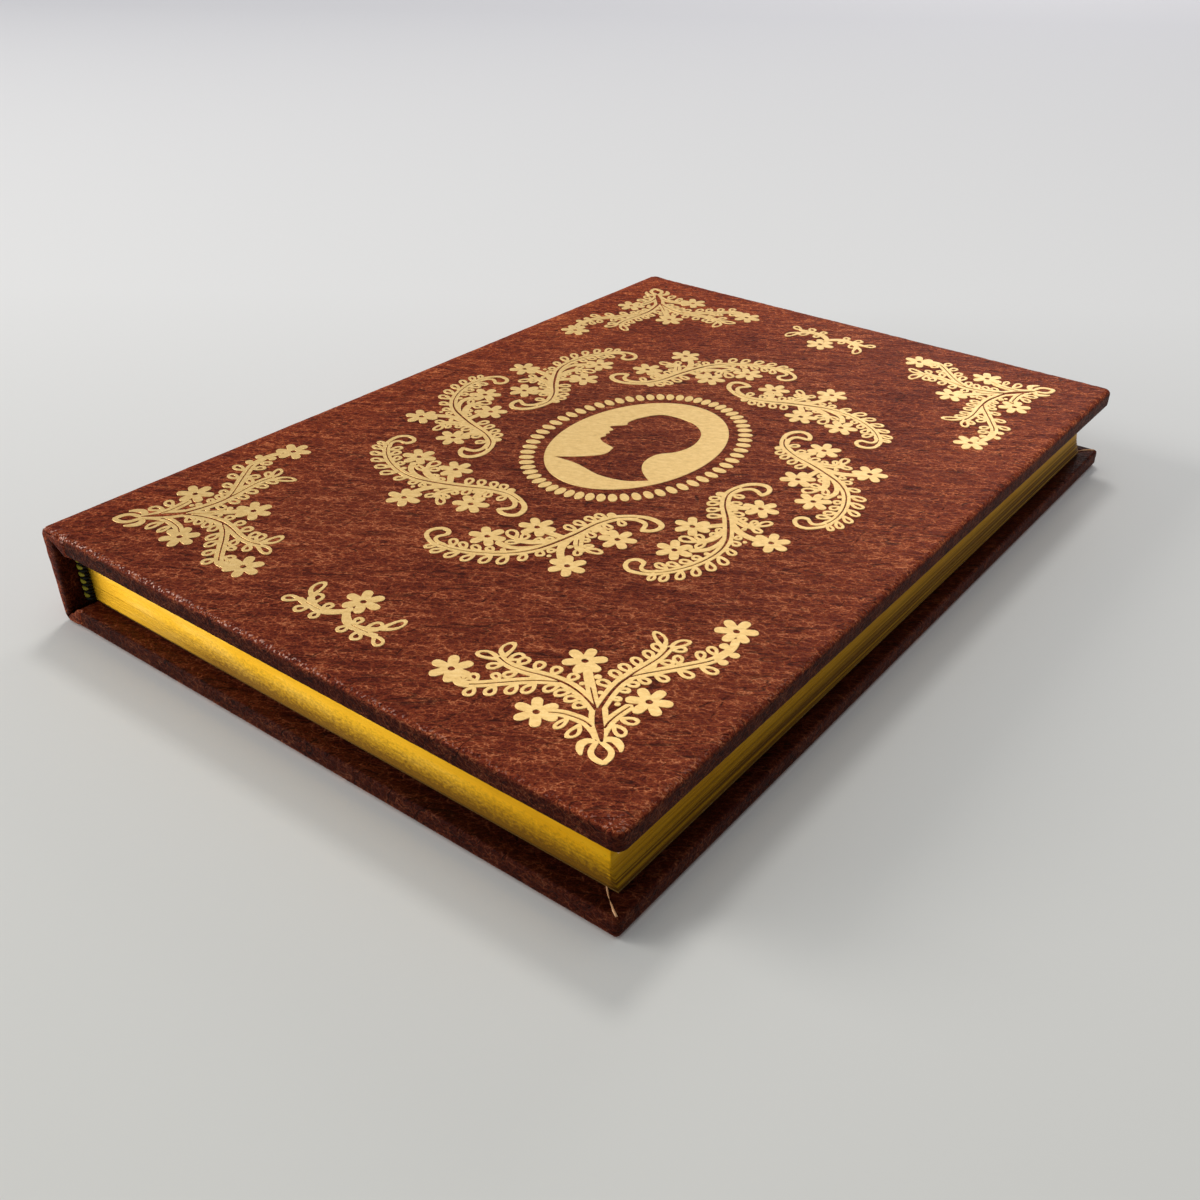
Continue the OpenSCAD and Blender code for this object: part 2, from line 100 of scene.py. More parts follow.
WARP, FOLDS, CREASES, EDGE, WAVES = (lattice(seed) for seed in (5, 3, 7, 11, 13))
GRAIN = radians(31)


def ridge(n, width):
    """1 along the lines where a noise crosses its middle, falling to 0 at a distance."""
    return share_of(1 - np.abs(n - 0.5) / width)


def folds(x, y):
    """Depth of the leather's folds, which run slantwise over the book."""
    u = x * cos(GRAIN) + y * sin(GRAIN)
    v = y * cos(GRAIN) - x * sin(GRAIN)
    v = v + 2.4 * WARP(u / 12, v / 9)
    return (0.045 * ridge(FOLDS(u / 6, v / 2.3), 0.2) + 0.03 * ridge(CREASES(u / 2.8, v / 1.5), 0.22)
            + 0.03 * WAVES(u / 9, v / 4))


def hump(x, centre, width):
    """1 at the centre of a bump, falling smoothly to 0 at both sides."""
    return np.exp(-((x - centre) / width) ** 2)


def share_of(x):
    """A share, kept between 0 and 1."""
    return np.clip(x, 0, 1)


def arc_drop(d, r):
    """How far a rounded edge of radius r has dropped at a distance d in from its face."""
    return r - np.sqrt(np.clip(r * r - np.clip(r - d, 0, r) ** 2, 0, None))


def place_object(name, data):
    """A new object in the scene."""
    obj = bpy.data.objects.new(name, data)
    bpy.context.scene.collection.objects.link(obj)
    return obj


def mesh(name, points, faces, material, glint_and_shade=None):
    """A new smooth object from points in millimetres."""
    data = bpy.data.meshes.new(name)
    data.from_pydata((np.asarray(points, float) * MM).tolist(), [], faces)
    if glint_and_shade is not None:
        data.attributes.new("glint_and_shade", "FLOAT", "POINT").data.foreach_set("value", np.asarray(glint_and_shade, np.float32))
    tidy = bmesh.new()
    tidy.from_mesh(data)
    bmesh.ops.remove_doubles(tidy, verts=tidy.verts, dist=1e-7)
    bmesh.ops.recalc_face_normals(tidy, faces=tidy.faces)
    tidy.to_mesh(data)
    tidy.free()
    data.polygons.foreach_set("use_smooth", [True] * len(data.polygons))
    data.materials.append(material)
    return place_object(name, data)


def dress(obj, body, slot, *nodes):
    """Hangs a piece on its body in place of the CAD nodes it stands for."""
    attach(obj, body)
    if nodes:
        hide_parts(*nodes)


def wall(first, second):
    """Quads between two closed rows of points, given by the points' numbers."""
    return np.stack([first, np.roll(first, -1), np.roll(second, -1), second], -1).tolist()


def tube(rows, count):
    """Faces of a closed solid made of rows of points, each row a closed ring."""
    index = np.arange(rows * count).reshape(rows, count)
    faces = [index[0].tolist(), index[-1].tolist()]
    for first, second in zip(index, index[1:]):
        faces += wall(second, first)
    return faces


def grid(rows, cols):
    """Quads of a grid of points, and the numbers of the points round its border."""
    index = np.arange(rows * cols).reshape(rows, cols)
    quads = np.stack([index[:-1, :-1], index[:-1, 1:], index[1:, 1:], index[1:, :-1]], -1).reshape(-1, 4)
    return quads, np.concatenate([index[0], index[1:, -1], index[-1, -2::-1], index[-2:0:-1, 0]])


def sheet(top, depth):
    """Closed solid between a grid of points, rows by columns, and the same grid moved by depth."""
    quads, border = grid(*top.shape[:2])
    points = np.concatenate([top.reshape(-1, 3), (top + depth).reshape(-1, 3)])
    size = len(points) // 2
    return points, quads.tolist() + (quads + size).tolist() + wall(border, border + size)


# Materials

class Nodes:
    """Short-hand for a material's node tree."""

    def __init__(self, name):
        self.material = bpy.data.materials.new(name)
        self.material.use_nodes = True
        self.tree = self.material.node_tree
        self.tree.nodes.clear()
        self.out = self.tree.nodes.new("ShaderNodeOutputMaterial")
        self.shader = self.tree.nodes.new("ShaderNodeBsdfPrincipled")
        self.tree.links.new(self.shader.outputs[0], self.out.inputs[0])
        given = self.add("TexCoord", {}).outputs
        self.where, self.facing = given["Object"], given["Normal"]
        self.colour = None

    def add(self, kind, sockets, **props):
        """A new node with its properties, and its sockets set or linked by number or name."""
        made = self.tree.nodes.new("ShaderNode" + kind)
        for key, value in props.items():
            setattr(made, key, value)
        for key, value in sockets.items():
            self.put(made, key, value)
        return made

    def put(self, made, key, value):
        socket = made.inputs[key]
        if isinstance(value, bpy.types.NodeSocket):
            self.tree.links.new(value, socket)
        else:
            socket.default_value = (*value, 1) if socket.type == "RGBA" else value

    def coords(self, scale, angle=0.0):
        """Object coordinates in cells: scale is cells to the millimetre, in all or in each direction."""
        spin = self.add("Mapping", {"Vector": self.where, "Rotation": (0, 0, -angle)}, vector_type="POINT")
        cells = tuple(float(s) / MM for s in np.broadcast_to(scale, 3))
        return self.add("VectorMath", {0: spin.outputs[0], 1: cells}, operation="MULTIPLY").outputs[0]

    def swirled(self, scale, angle, amount):
        """The same, bent by a noise of its own."""
        base = self.coords(scale, angle)
        swirl = self.add("TexNoise", {"Vector": base, "Scale": 1.0, "Detail": 2.0}).outputs[1]
        return self.add("VectorMath", {0: swirl, 1: (amount,) * 3, 2: base},
                        operation="MULTIPLY_ADD").outputs[0]

    def edges(self, vector):
        """Distance to the nearest border between cells."""
        return self.add("TexVoronoi", {"Vector": vector, "Scale": 1.0},
                        feature="DISTANCE_TO_EDGE").outputs["Distance"]

    def parts(self, vector):
        return self.add("SeparateXYZ", {0: vector}).outputs

    def noise(self, scale, detail=2.0, rough=0.5, angle=0.0, twist=0.0):
        return self.add("TexNoise", {"Vector": self.coords(scale, angle), "Scale": 1.0, "Detail": detail,
                                     "Roughness": rough, "Distortion": twist}).outputs[0]

    def math(self, operation, a, b=0.0, clamp=False):
        return self.add("Math", {0: a, 1: b}, operation=operation, use_clamp=clamp).outputs[0]

    def times(self, a, b, clamp=False):
        return self.math("MULTIPLY", a, b, clamp)

    def plus(self, total, *more):
        for value in more:
            total = self.math("ADD", total, value)
        return total

    def off_line(self, value):
        """Distance to the nearest of the lines that lie halfway between whole numbers."""
        return self.math("ABSOLUTE", self.math("SUBTRACT", self.math("FRACT", value), 0.5))

    def spread(self, value, low, high, to_low=0.0, to_high=1.0):
        return self.add("MapRange", {0: value, 1: low, 2: high, 3: to_low, 4: to_high}).outputs[0]

    def ramp(self, value, *stops):
        made = self.add("ValToRGB", {0: value})
        points = made.color_ramp.elements
        while len(points) < len(stops):
            points.new(0.5)
        for point, (place, colour) in zip(points, stops):
            point.position = place
            point.color = (*colour, 1)
        return made.outputs[0]

    def blend(self, share, a, b, way="MIX"):
        return self.add("Mix", {0: share, 6: a, 7: b}, data_type="RGBA", blend_type=way).outputs[2]

    def tint(self, share, colour, way="MIX"):
        """Blends the colour so far with another by a share."""
        self.colour = self.blend(share, self.colour, colour, way)

    def bump(self, height, distance, strength=1.0):
        made = self.add("Bump", {"Height": height, "Distance": distance * MM, "Strength": strength})
        self.put(self.shader, "Normal", made.outputs[0])

    def finish(self, roughness, metallic=0.0, specular=0.5):
        self.put(self.shader, "Base Color", self.colour)
        self.put(self.shader, "Roughness", roughness)
        self.put(self.shader, "Metallic", metallic)
        self.put(self.shader, "Specular IOR Level", specular)
        return self.material


def leather_material():
    """Reddish-brown leather: dark pebbles in a web of orange-brown creases, with long folds and cracks, a
    painted sheen, painted shade and painted glints.
    """
    n = Nodes("leather")
    wide = n.edges(n.swirled((0.34, 0.62, 0.62), GRAIN, 0.9))
    close = n.edges(n.swirled((0.85, 1.4, 1.4), GRAIN, 0.8))
    fold = n.noise((0.1, 0.42, 0.42), 3.0, 0.55, GRAIN, 0.5)
    fine = n.noise((3.0, 3.6, 3.6), 3.0, 0.65, GRAIN)
    patch = n.noise((0.022, 0.03, 0.03), 2.0, 0.5, GRAIN)
    broad = n.spread(wide, 0.17, 0.04)
    thin = n.times(n.spread(close, 0.16, 0.03), n.spread(fold, 0.35, 0.6, 0.4, 1.0))
    web = n.plus(n.times(broad, 0.36), n.times(thin, 0.38), n.spread(fine, 0.36, 0.66, 0.015, 0.355),
                 n.spread(fold, 0.3, 0.7, -0.11, 0.11), n.spread(patch, 0.3, 0.7, -0.07, 0.07))
    n.colour = n.ramp(web, (0.0, (0.06, 0.008, 0.004)), (0.3, (0.15, 0.022, 0.009)),
                    (0.55, (0.235, 0.043, 0.015)), (0.78, (0.36, 0.085, 0.03)), (1.0, (0.6, 0.2, 0.085)))
    x, y, _ = n.parts(n.where)
    spine = n.spread(n.plus(x, n.times(y, -0.25)), -0.03, -0.095)
    n.tint(spine, (1.3, 1.15, 0.9), "MULTIPLY")
    # Painted sheen: the leather is painted lighter towards the far corner at the head and fore-edge
    painted_sheen = n.spread(n.plus(x, n.times(y, 1.2)), 0.0, 0.15)
    n.tint(painted_sheen, (1.35, 1.25, 1.1), "MULTIPLY")
    # Painted shade: a dark line down the middle of the web's grooves
    groove = n.times(n.spread(wide, 0.04, 0.01), n.spread(fold, 0.6, 0.4, 0.3, 1.0))
    n.tint(n.times(groove, 0.6), (0.035, 0.007, 0.004))
    sway = n.noise((0.12, 0.03, 0.12))
    lane = n.off_line(n.plus(n.times(x, 105.0), n.times(sway, 1.6)))
    dashes = n.spread(n.noise((0.2, 0.55, 0.2), 2.0, 0.6), 0.5, 0.6)
    crack = n.times(n.spread(lane, 0.022, 0.006), dashes)
    long = n.noise((0.03, 0.17, 0.17), 2.0, 0.55, GRAIN + 0.12, 0.3)
    dashes = n.spread(n.noise((0.09, 0.2, 0.2), 2.0, 0.6, GRAIN), 0.42, 0.52)
    long = n.times(n.spread(n.off_line(n.times(long, 13.0)), 0.11, 0.03), dashes)
    crack = n.math("MAXIMUM", crack, n.times(long, 0.9))
    n.tint(n.times(crack, 0.75), (0.02, 0.004, 0.003))
    glint_and_shade = n.add("Attribute", {}, attribute_name="glint_and_shade").outputs["Fac"]
    # Painted shade where the attribute is below 0: walls, turn-ins and the spine's inside go dark
    painted_shade = n.spread(glint_and_shade, 0.0, -1.0)
    n.tint(painted_shade, (0.1, 0.08, 0.09), "MULTIPLY")
    # Painted glints: pale specks where the attribute is above 0, along the edges' crests
    speck = n.noise(1.9, 1.0)
    glint = n.times(n.math("MAXIMUM", glint_and_shade, 0.0), n.spread(speck, 0.56, 0.64), True)
    n.tint(glint, (0.85, 0.52, 0.42))
    height = n.plus(n.spread(wide, 0.0, 0.14, 0.0, 0.5), n.spread(close, 0.0, 0.2, 0.0, 0.25),
                    n.times(crack, -0.5), n.times(fold, 0.4), n.times(fine, 0.25))
    n.bump(height, 0.18, 1.0)
    gloss = n.plus(n.spread(fine, 0.3, 0.7, 0.42, 0.56), n.times(glint, -0.2))
    return n.finish(gloss, 0.0, 0.035)


def fibre_material(name, scale, detail, rough, depth, dark, light, gloss, specular):
    """Plain fibrous stuff between two tones, with its fibres raised by a depth in millimetres."""
    n = Nodes(name)
    fibre = n.noise(scale, detail, rough)
    n.bump(fibre, depth)
    n.colour = n.ramp(fibre, (0.3, dark), (0.7, light))
    return n.finish(gloss, 0.0, specular)


def foil_material():
    """Gold leaf pressed flat on leather: satin, with a faint grain and a few worn specks."""
    n = Nodes("gold_foil")
    grain = n.noise((0.5, 1.0, 1.0), 3.0, 0.6, GRAIN)
    speck = n.noise((2.2, 2.8, 2.8), 3.0, 0.65)
    n.colour = n.ramp(n.plus(n.times(grain, 0.6), n.times(speck, 0.4)),
                    (0.3, (0.74, 0.47, 0.16)), (0.5, (0.88, 0.59, 0.22)), (0.7, (0.97, 0.7, 0.31)))
    n.tint(n.spread(speck, 0.27, 0.22, 0.0, 0.7), (0.26, 0.1, 0.04))
    n.bump(n.plus(grain, n.times(speck, 0.3)), 0.04, 0.6)
    return n.finish(n.spread(speck, 0.3, 0.7, 0.4, 0.52), 0.6)


def gilt_material():
    """Gilded page edges: burnished at head and tail, with fine page lines; painted light along head and tail,
    painted shade on the fore-edge, and darker near the bottom of the pages.
    """
    n = Nodes("gilt_edges")
    side = n.parts(n.facing)[0]
    fore = n.spread(n.math("ABSOLUTE", side), 0.3, 0.7)
    pages = n.noise((0.003, 0.003, 8.0), 3.0, 0.65)
    cloud = n.noise((0.04, 0.04, 0.2), 3.0, 0.55)
    speck = n.noise((1.5, 1.5, 4), 3.0, 0.6)
    lines = n.times(n.spread(pages, 0.3, 0.7, -1.0, 1.0), n.spread(fore, 0.0, 1.0, 0.3, 1.0))
    tone = n.plus(n.times(lines, 0.2), cloud)
    x, _, z = n.parts(n.where)
    n.colour = n.ramp(tone, (0.2, (0.8, 0.4, 0.004)), (0.5, (0.95, 0.51, 0.012)), (0.8, (1.0, 0.6, 0.06)))
    # Painted light along head and tail: paler along most of their length as a painted highlight, darker and
    # deeper yellow towards the fore-edge as painted shade
    ends = n.blend(n.spread(x, 0.02, 0.075), (1.0, 1.08, 2.0), (0.8, 0.76, 0.05))
    n.tint(n.spread(fore, 1.0, 0.0), ends, "MULTIPLY")
    # Painted shade: the fore-edge is painted darker and more olive
    n.tint(fore, (0.75, 0.72, 0.4), "MULTIPLY")
    # Darker near the bottom of the pages: in streaks on the fore-edge, and more towards the fore-edge end of
    # head and tail
    mottle = n.noise((1.0, 1.0, 1.5), 4.0, 0.7)
    mottle = n.times(n.spread(mottle, 0.3, 0.7, -0.0018, 0.0018), n.math("SUBTRACT", 1.0, fore))
    low = n.spread(n.plus(z, mottle), 0.0112, 0.0062)
    gather = n.spread(n.noise((0.004, 0.004, 2.1), 2.0, 0.6), 0.58, 0.42, 0.35, 1.0)
    low = n.times(low, n.blend(fore, n.spread(x, -0.07, -0.03, 0.1, 0.9), gather), True)
    n.tint(low, (0.15, 0.06, 0.006))
    n.tint(n.times(n.spread(speck, 0.3, 0.25), 0.3), (0.28, 0.14, 0.03))
    n.bump(n.plus(lines, n.times(speck, 0.15)), 0.05, 0.8)
    n.shader.inputs["Anisotropic"].default_value = 0.81
    n.shader.inputs["Anisotropic Rotation"].default_value = 0.25
    return n.finish(0.54, 0.85)


def paper_material(name, light, dark, foxing):
    """Old paper: laid fibres, a yellowed cloud and brown specks. Its edges are gilded and dark with age."""
    n = Nodes(name)
    fibre = n.noise((0.9, 4, 4), 4.0, 0.65)
    cloud = n.noise(0.02, 4.0, 0.6)
    spots = n.noise(0.16)
    n.colour = n.blend(cloud, light, dark)
    n.tint(n.times(n.spread(fibre, 0.4, 0.7), 0.18), dark)
    n.tint(n.times(n.spread(spots, 0.7, 0.78), foxing), (0.45, 0.26, 0.12))
    flat = n.spread(n.math("ABSOLUTE", n.parts(n.facing)[2]), 0.4, 0.6)
    n.colour = n.blend(flat, (0.2, 0.1, 0.015), n.colour)
    n.bump(fibre, 0.03, 0.6)
    return n.finish(0.82, 0.0, 0.3)


def silk_material(name, dark, light):
    """Silk thread, with its strands across each winding."""
    return fibre_material(name, (9, 9, 30), 2.0, 0.6, 0.04, dark, light, 0.6, 0.2)


LEATHER = leather_material()
RAW_LEATHER = fibre_material("raw_leather", (3, 3, 3), 3.0, 0.6, 0.05,
                             (0.5, 0.25, 0.11), (0.85, 0.5, 0.26), 0.7, 0.5)
FOIL = foil_material()
GILT = gilt_material()
PAPER = paper_material("endpaper", (0.82, 0.74, 0.58), (0.68, 0.56, 0.38), 0.6)
LINING = paper_material("lining", (0.7, 0.6, 0.44), (0.52, 0.42, 0.28), 0.3)
BOARD = fibre_material("board", (1.2, 2.4, 6), 4.0, 0.7, 0.08,
                       (0.2, 0.16, 0.11), (0.36, 0.3, 0.22), 0.85, 0.25)
SILK_LIGHT = silk_material("silk_yellow", (0.2, 0.17, 0.01), (0.5, 0.45, 0.04))
SILK_DARK = silk_material("silk_black", (0.004, 0.004, 0.003), (0.012, 0.012, 0.006))


# Covers

def corner_list(x0, x1, y0, y1, fore_r, joint_r):
    """Corners of a rectangle: place, the way each points, and radius."""
    return [(x0, y0, -1, -1, joint_r), (x1, y0, 1, -1, fore_r),
            (x1, y1, 1, 1, fore_r), (x0, y1, -1, 1, joint_r)]


def round_corners(x, y, corners):
    """Moves the points in a rectangle's corner squares into quarter discs."""
    for cx, cy, sx, sy, r in corners:
        if r <= 0:
            continue
        dx, dy = (x - cx) * sx + r, (y - cy) * sy + r
        inside = (dx > 1e-9) & (dy > 1e-9)
        k = np.where(inside, np.maximum(dx, dy) / np.maximum(np.hypot(dx, dy), 1e-9), 1)
        x = np.where(inside, cx - sx * r + sx * dx * k, x)
        y = np.where(inside, cy - sy * r + sy * dy * k, y)
    return x, y


def grid_lines(lo, hi, lo_rim, hi_rim, step):
    """Places across a cover: close together at both rims, then evenly spaced."""
    count = int(round((hi - hi_rim[-1] - lo - lo_rim[-1]) / step))
    middle = np.linspace(lo + lo_rim[-1], hi - hi_rim[-1], count + 1)
    return np.concatenate([lo + lo_rim[:-1], middle, (hi - hi_rim[:-1])[::-1]])


def cover_leather(step, corner_r, rim_t, painted_shade):
    """Leather of a cover, outside up: folded top, rounded edges, walls, a rim raised by rim_t, turn-ins.

    The grid's step sets how fine it is, and the last argument how dark the turn-ins are painted, as painted
    shade.
    """
    wall_rows, arc_angles = 5, (30, 60, 90)
    rim = np.array([0, 0.107, 0.41, 0.86, 1.4, 2.1, 3.0])
    joint_rim = np.array([0, 0.08, 0.32, 0.68, 1.1, 1.7])
    y0, y1 = -COVER_H / 2, COVER_H / 2
    xs = grid_lines(COVER_X, FORE_X, joint_rim, rim, step)
    ys = grid_lines(y0, y1, rim, rim, step)
    gx, gy = np.meshgrid(xs, ys)
    near = np.minimum(np.minimum(FORE_X - gx, gy - y0), y1 - gy)
    drop = np.maximum(arc_drop(near, OUTER_R), arc_drop(gx - COVER_X, JOINT_R))
    x, y = round_corners(gx, gy, corner_list(COVER_X, FORE_X, y0, y1, corner_r, INNER_R))
    crinkle = 0.07 * ridge(EDGE(x / 1.3, y / 1.3), 0.3) * hump(near, 1.0, 0.9)
    inner = share_of(near / 0.4)
    z = BOOK_T - drop - (folds(x, y) + crinkle) * inner
    # Painted glints on the crest of the edges, most along the tail near the spine and at the fore-edge
    # corner, then painted shade where the top turns down
    tail = share_of(1 - (gy - y0) / 3) * np.clip(0.7 - gx / 90, 0.08, 1)
    corner = hump(np.hypot(gx - FORE_X + 2.6, gy - y0 - 1.8), 0, 1.5)
    top_glint_and_shade = hump(near, 0.6, 0.35) * (0.15 + 1.6 * tail) * (0.35 + 0.9 * EDGE(x / 8, y / 8))
    top_glint_and_shade += 0.4 * corner + DEEP_SHADE * share_of(1 - near / 0.35)
    quads, loop = grid(*gx.shape)
    bx, by = gx.reshape(-1)[loop], gy.reshape(-1)[loop]
    edge_z = z.reshape(-1)[loop]
    along = np.cumsum(np.hypot(np.diff(bx, prepend=bx[0]), np.diff(by, prepend=by[0])))
    inside_z = BOOK_T - COVER_T

    def ring(inset, height, rough=0.0, row=0.0):
        """Points all round the cover, set in from its edges."""
        inset = inset + rough * ridge(EDGE(along / 1.1, row), 0.35)
        rx = np.clip(bx, COVER_X + np.minimum(inset, JOINT_TURN_IN), FORE_X - inset)
        ry = np.clip(by, y0 + inset, y1 - inset)
        depth = float(np.mean(inset))
        corners = corner_list(COVER_X + depth, FORE_X - depth, y0 + depth, y1 - depth,
                              max(corner_r - depth, 0), max(INNER_R - depth, 0))
        rx, ry = round_corners(rx, ry, corners)
        return np.stack([rx, ry, np.broadcast_to(height, rx.shape)], -1)

    rim_z = inside_z - rim_t
    wall_z = rim_z + INNER_R
    rings = [ring(0.0, edge_z + (wall_z - edge_z) * k / wall_rows, 0.06, 3.7 * k)
             for k in range(1, wall_rows + 1)]
    for angle in arc_angles:
        inset, rise = INNER_R * (1 - np.array([cos(radians(angle)), sin(radians(angle))]))
        rings.append(ring(inset, rim_z + rise, 0.04, 20 + angle / 10))
    for inset, share in ((1.3, 1), (2.2, 1), (3, 0.8), (3.8, 0.2), (5, 0), (7.5, 0), (10.5, 0), (13.3, 0)):
        turn_in = ring(inset, inside_z - share * rim_t)
        turn_in[:, 2] += 0.09 * EDGE(turn_in[:, 0] / 1.7, turn_in[:, 1] / 1.7)
        rings.append(turn_in)
    for inset, height in ((TURN_IN, inside_z + 0.1), (TURN_IN, inside_z + TURN_IN_T),
                          (LEATHER_T, inside_z + TURN_IN_T), (LEATHER_T, BOOK_T - LEATHER_T)):
        rings.append(ring(inset, height))
    # Painted shade on the walls and rounded inner edges, and on the turn-ins, darker towards the fore-edge
    shaded_rows = wall_rows + len(arc_angles) - 1
    under = np.maximum(painted_shade - 0.35 * share_of((bx + 20) / 60), -0.95)
    glint_and_shade = [top_glint_and_shade.reshape(-1)] + [np.full(len(loop), DEEP_SHADE)] * shaded_rows
    glint_and_shade += [under] * (len(rings) - shaded_rows)
    numbers = [loop] + [gx.size + k * len(loop) + np.arange(len(loop)) for k in range(len(rings))]
    faces = quads.tolist() + [numbers[-1].tolist()]
    for outer, inner in zip(numbers, numbers[1:]):
        faces += wall(outer, inner)
    points = [np.stack([x, y, z], -1).reshape(-1, 3)] + rings
    return np.concatenate(points), faces, np.concatenate(glint_and_shade)


def outside_down(points):
    """Turns the front cover's shape into the back cover's."""
    return points * (1, 1, -1) + (0, 0, BOOK_T)


def build_covers():
    for side, *sizes in (("front", 0.75, 2.2, 0.6, -0.6), ("back", 1.5, 1.0, 0.5, -0.55)):
        points, faces, glint_and_shade = cover_leather(*sizes)
        if side == "back":
            points = outside_down(points)
        cover = mesh(f"{side}_cover_leather", points, faces, LEATHER, glint_and_shade)
        dress(cover, f"{side}_cover", "leather", f"{side}_leather")


def seam(path, width, height, z):
    """A thin raised line along a path on the inside of the front cover."""
    way = np.gradient(path, axis=0)
    side = np.stack([-way[:, 1], way[:, 0]], -1) / np.linalg.norm(way, axis=1)[:, None] * width / 2
    top = [np.column_stack([path + side * k, np.full(len(path), level)])
           for k, level in ((-1, z + 0.1), (0, z - height), (1, z + 0.1))]
    return sheet(np.stack(top, 1), np.array([0, 0, 0.3]))


def build_mitres():
    """Pale cut edges of the leather, where the turn-ins overlap at the fore-edge corners."""
    share = np.linspace(0, 1, 13)
    bow = 0.5 * np.sin(pi * share) + 0.12 * np.sin(9 * share)
    x = FORE_X - 0.9 - 12.6 * share - bow
    y = COVER_H / 2 - 0.8 - 12.7 * share + bow
    points, faces = [], []
    for side in (-1, 1):
        made, quads = seam(np.stack([x, side * y], -1), 0.5, 0.22, BOOK_T - COVER_T)
        made[:, 2] -= 0.55 * share_of((made[:, 0] - FORE_X + 4.0) / 0.9)
        faces += [[len(made) * len(points) + i for i in quad] for quad in quads]
        points.append(made)
    points = np.concatenate(points)
    dress(mesh("front_turn_in_seams", points, faces, RAW_LEATHER), "front_cover", "leather")
    dress(mesh("back_turn_in_seams", outside_down(points), faces, RAW_LEATHER), "back_cover", "leather")


def lean_share(x):
    """Share of the spine's lean that a point takes: none at the joint, all at the spine's face."""
    return share_of((JOINT_X - x) / (JOINT_X - SPINE_X))


def joint_leather(lean):
    """Leather down in the groove between the spine's shoulder and the front cover, turned in at both ends."""
    across = np.array([-4.5, -3.9, -3.3, -2.7, -2.2, -1.9, -1.5, -1.15, -0.85, -0.6, -0.4, -0.2,
                       0, 0.2, 0.4, 0.6, 0.85, 1.15, 1.5, 1.9, 2.2])
    half = COVER_H / 2
    rows = ([(half, d) for d in (4.9, 4.2, 3.4, 2.6, 1.9, 1.4)]
            + [(half - d, arc_drop(d, OUTER_R)) for d in (0.12, 0.45, 0.9)])
    along = np.arange(-half + 1.5, half - 1.4, 1.45)
    rows = ([(-y, d) for y, d in rows] + [(y, 0) for y in along] + rows[::-1])
    top, depth = [], []
    for y, drop in rows:
        x = HINGE_X + across - lean * lean_share(HINGE_X + across)
        flap = drop > 1.35
        groove = 0.1 * hump(across, 0, 0.7) + 0.05 * (EDGE(y / 2.1, across) - 0.5)
        rough = folds(x, y) * 0.8
        drop = drop * (1 - 0.84 * share_of((0.9 - across) / 5.2)) if flap else drop
        lift = np.where(np.abs(across) > 2, -0.25, 0.04)
        sunk = share_of(np.maximum(-across - 3.4, across - 1.2) / 0.8)
        out = copysign(1, y) * (0.14 - 0.45 * sunk) * flap
        top.append(np.stack([x, y + out, BOOK_T + lift - groove - rough - drop], -1))
        depth.append(np.tile([0, -0.35 * copysign(1, y) * flap, -0.3], (len(x), 1)))
    return sheet(np.array(top), np.array(depth))


def build_joints():
    points, faces = joint_leather(SPINE_LEAN)
    from_end = COVER_H / 2 - np.abs(points[:, 1])
    # Painted glints near both ends of the joint, and painted shade on its parts that lie deep down
    glint_and_shade = 0.9 * hump(from_end, 0.6, 0.6) - 0.5 * (points[:, 2] < BOOK_T - 1.5)
    front = mesh("front_joint_leather", points, faces, LEATHER, glint_and_shade)
    back = mesh("back_joint_leather", outside_down(joint_leather(0.0)[0]), faces, LEATHER, glint_and_shade)
    for piece, cover, z in ((front, "front_cover", BOOK_T), (back, "back_cover", 0.0)):
        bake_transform(piece)


# Spine

def arc(cx, cz, r, start, end, count):
    """Points along an arc, with its angles in degrees."""
    angles = np.radians(np.linspace(start, end, count))
    return [(cx + r * cos(a), cz + r * sin(a)) for a in angles]


def spine_profile():
    """Outer line of the spine from the lip in the front joint round to the lip in the back joint."""
    top = [(JOINT_X, BOOK_T - 1.9)]
    top += arc(JOINT_X - JOINT_R, BOOK_T - JOINT_R, JOINT_R, 0, 90, 6)
    top += arc(SPINE_X + SHOULDER_R, BOOK_T - SHOULDER_R, SHOULDER_R, 90, 180, 11)
    middle = [(SPINE_X, z) for z in np.linspace(BOOK_T - SHOULDER_R, SHOULDER_R, 15)[1:-1]]
    bottom = [(x, BOOK_T - z) for x, z in top[::-1]]
    return np.array(top + middle + bottom)


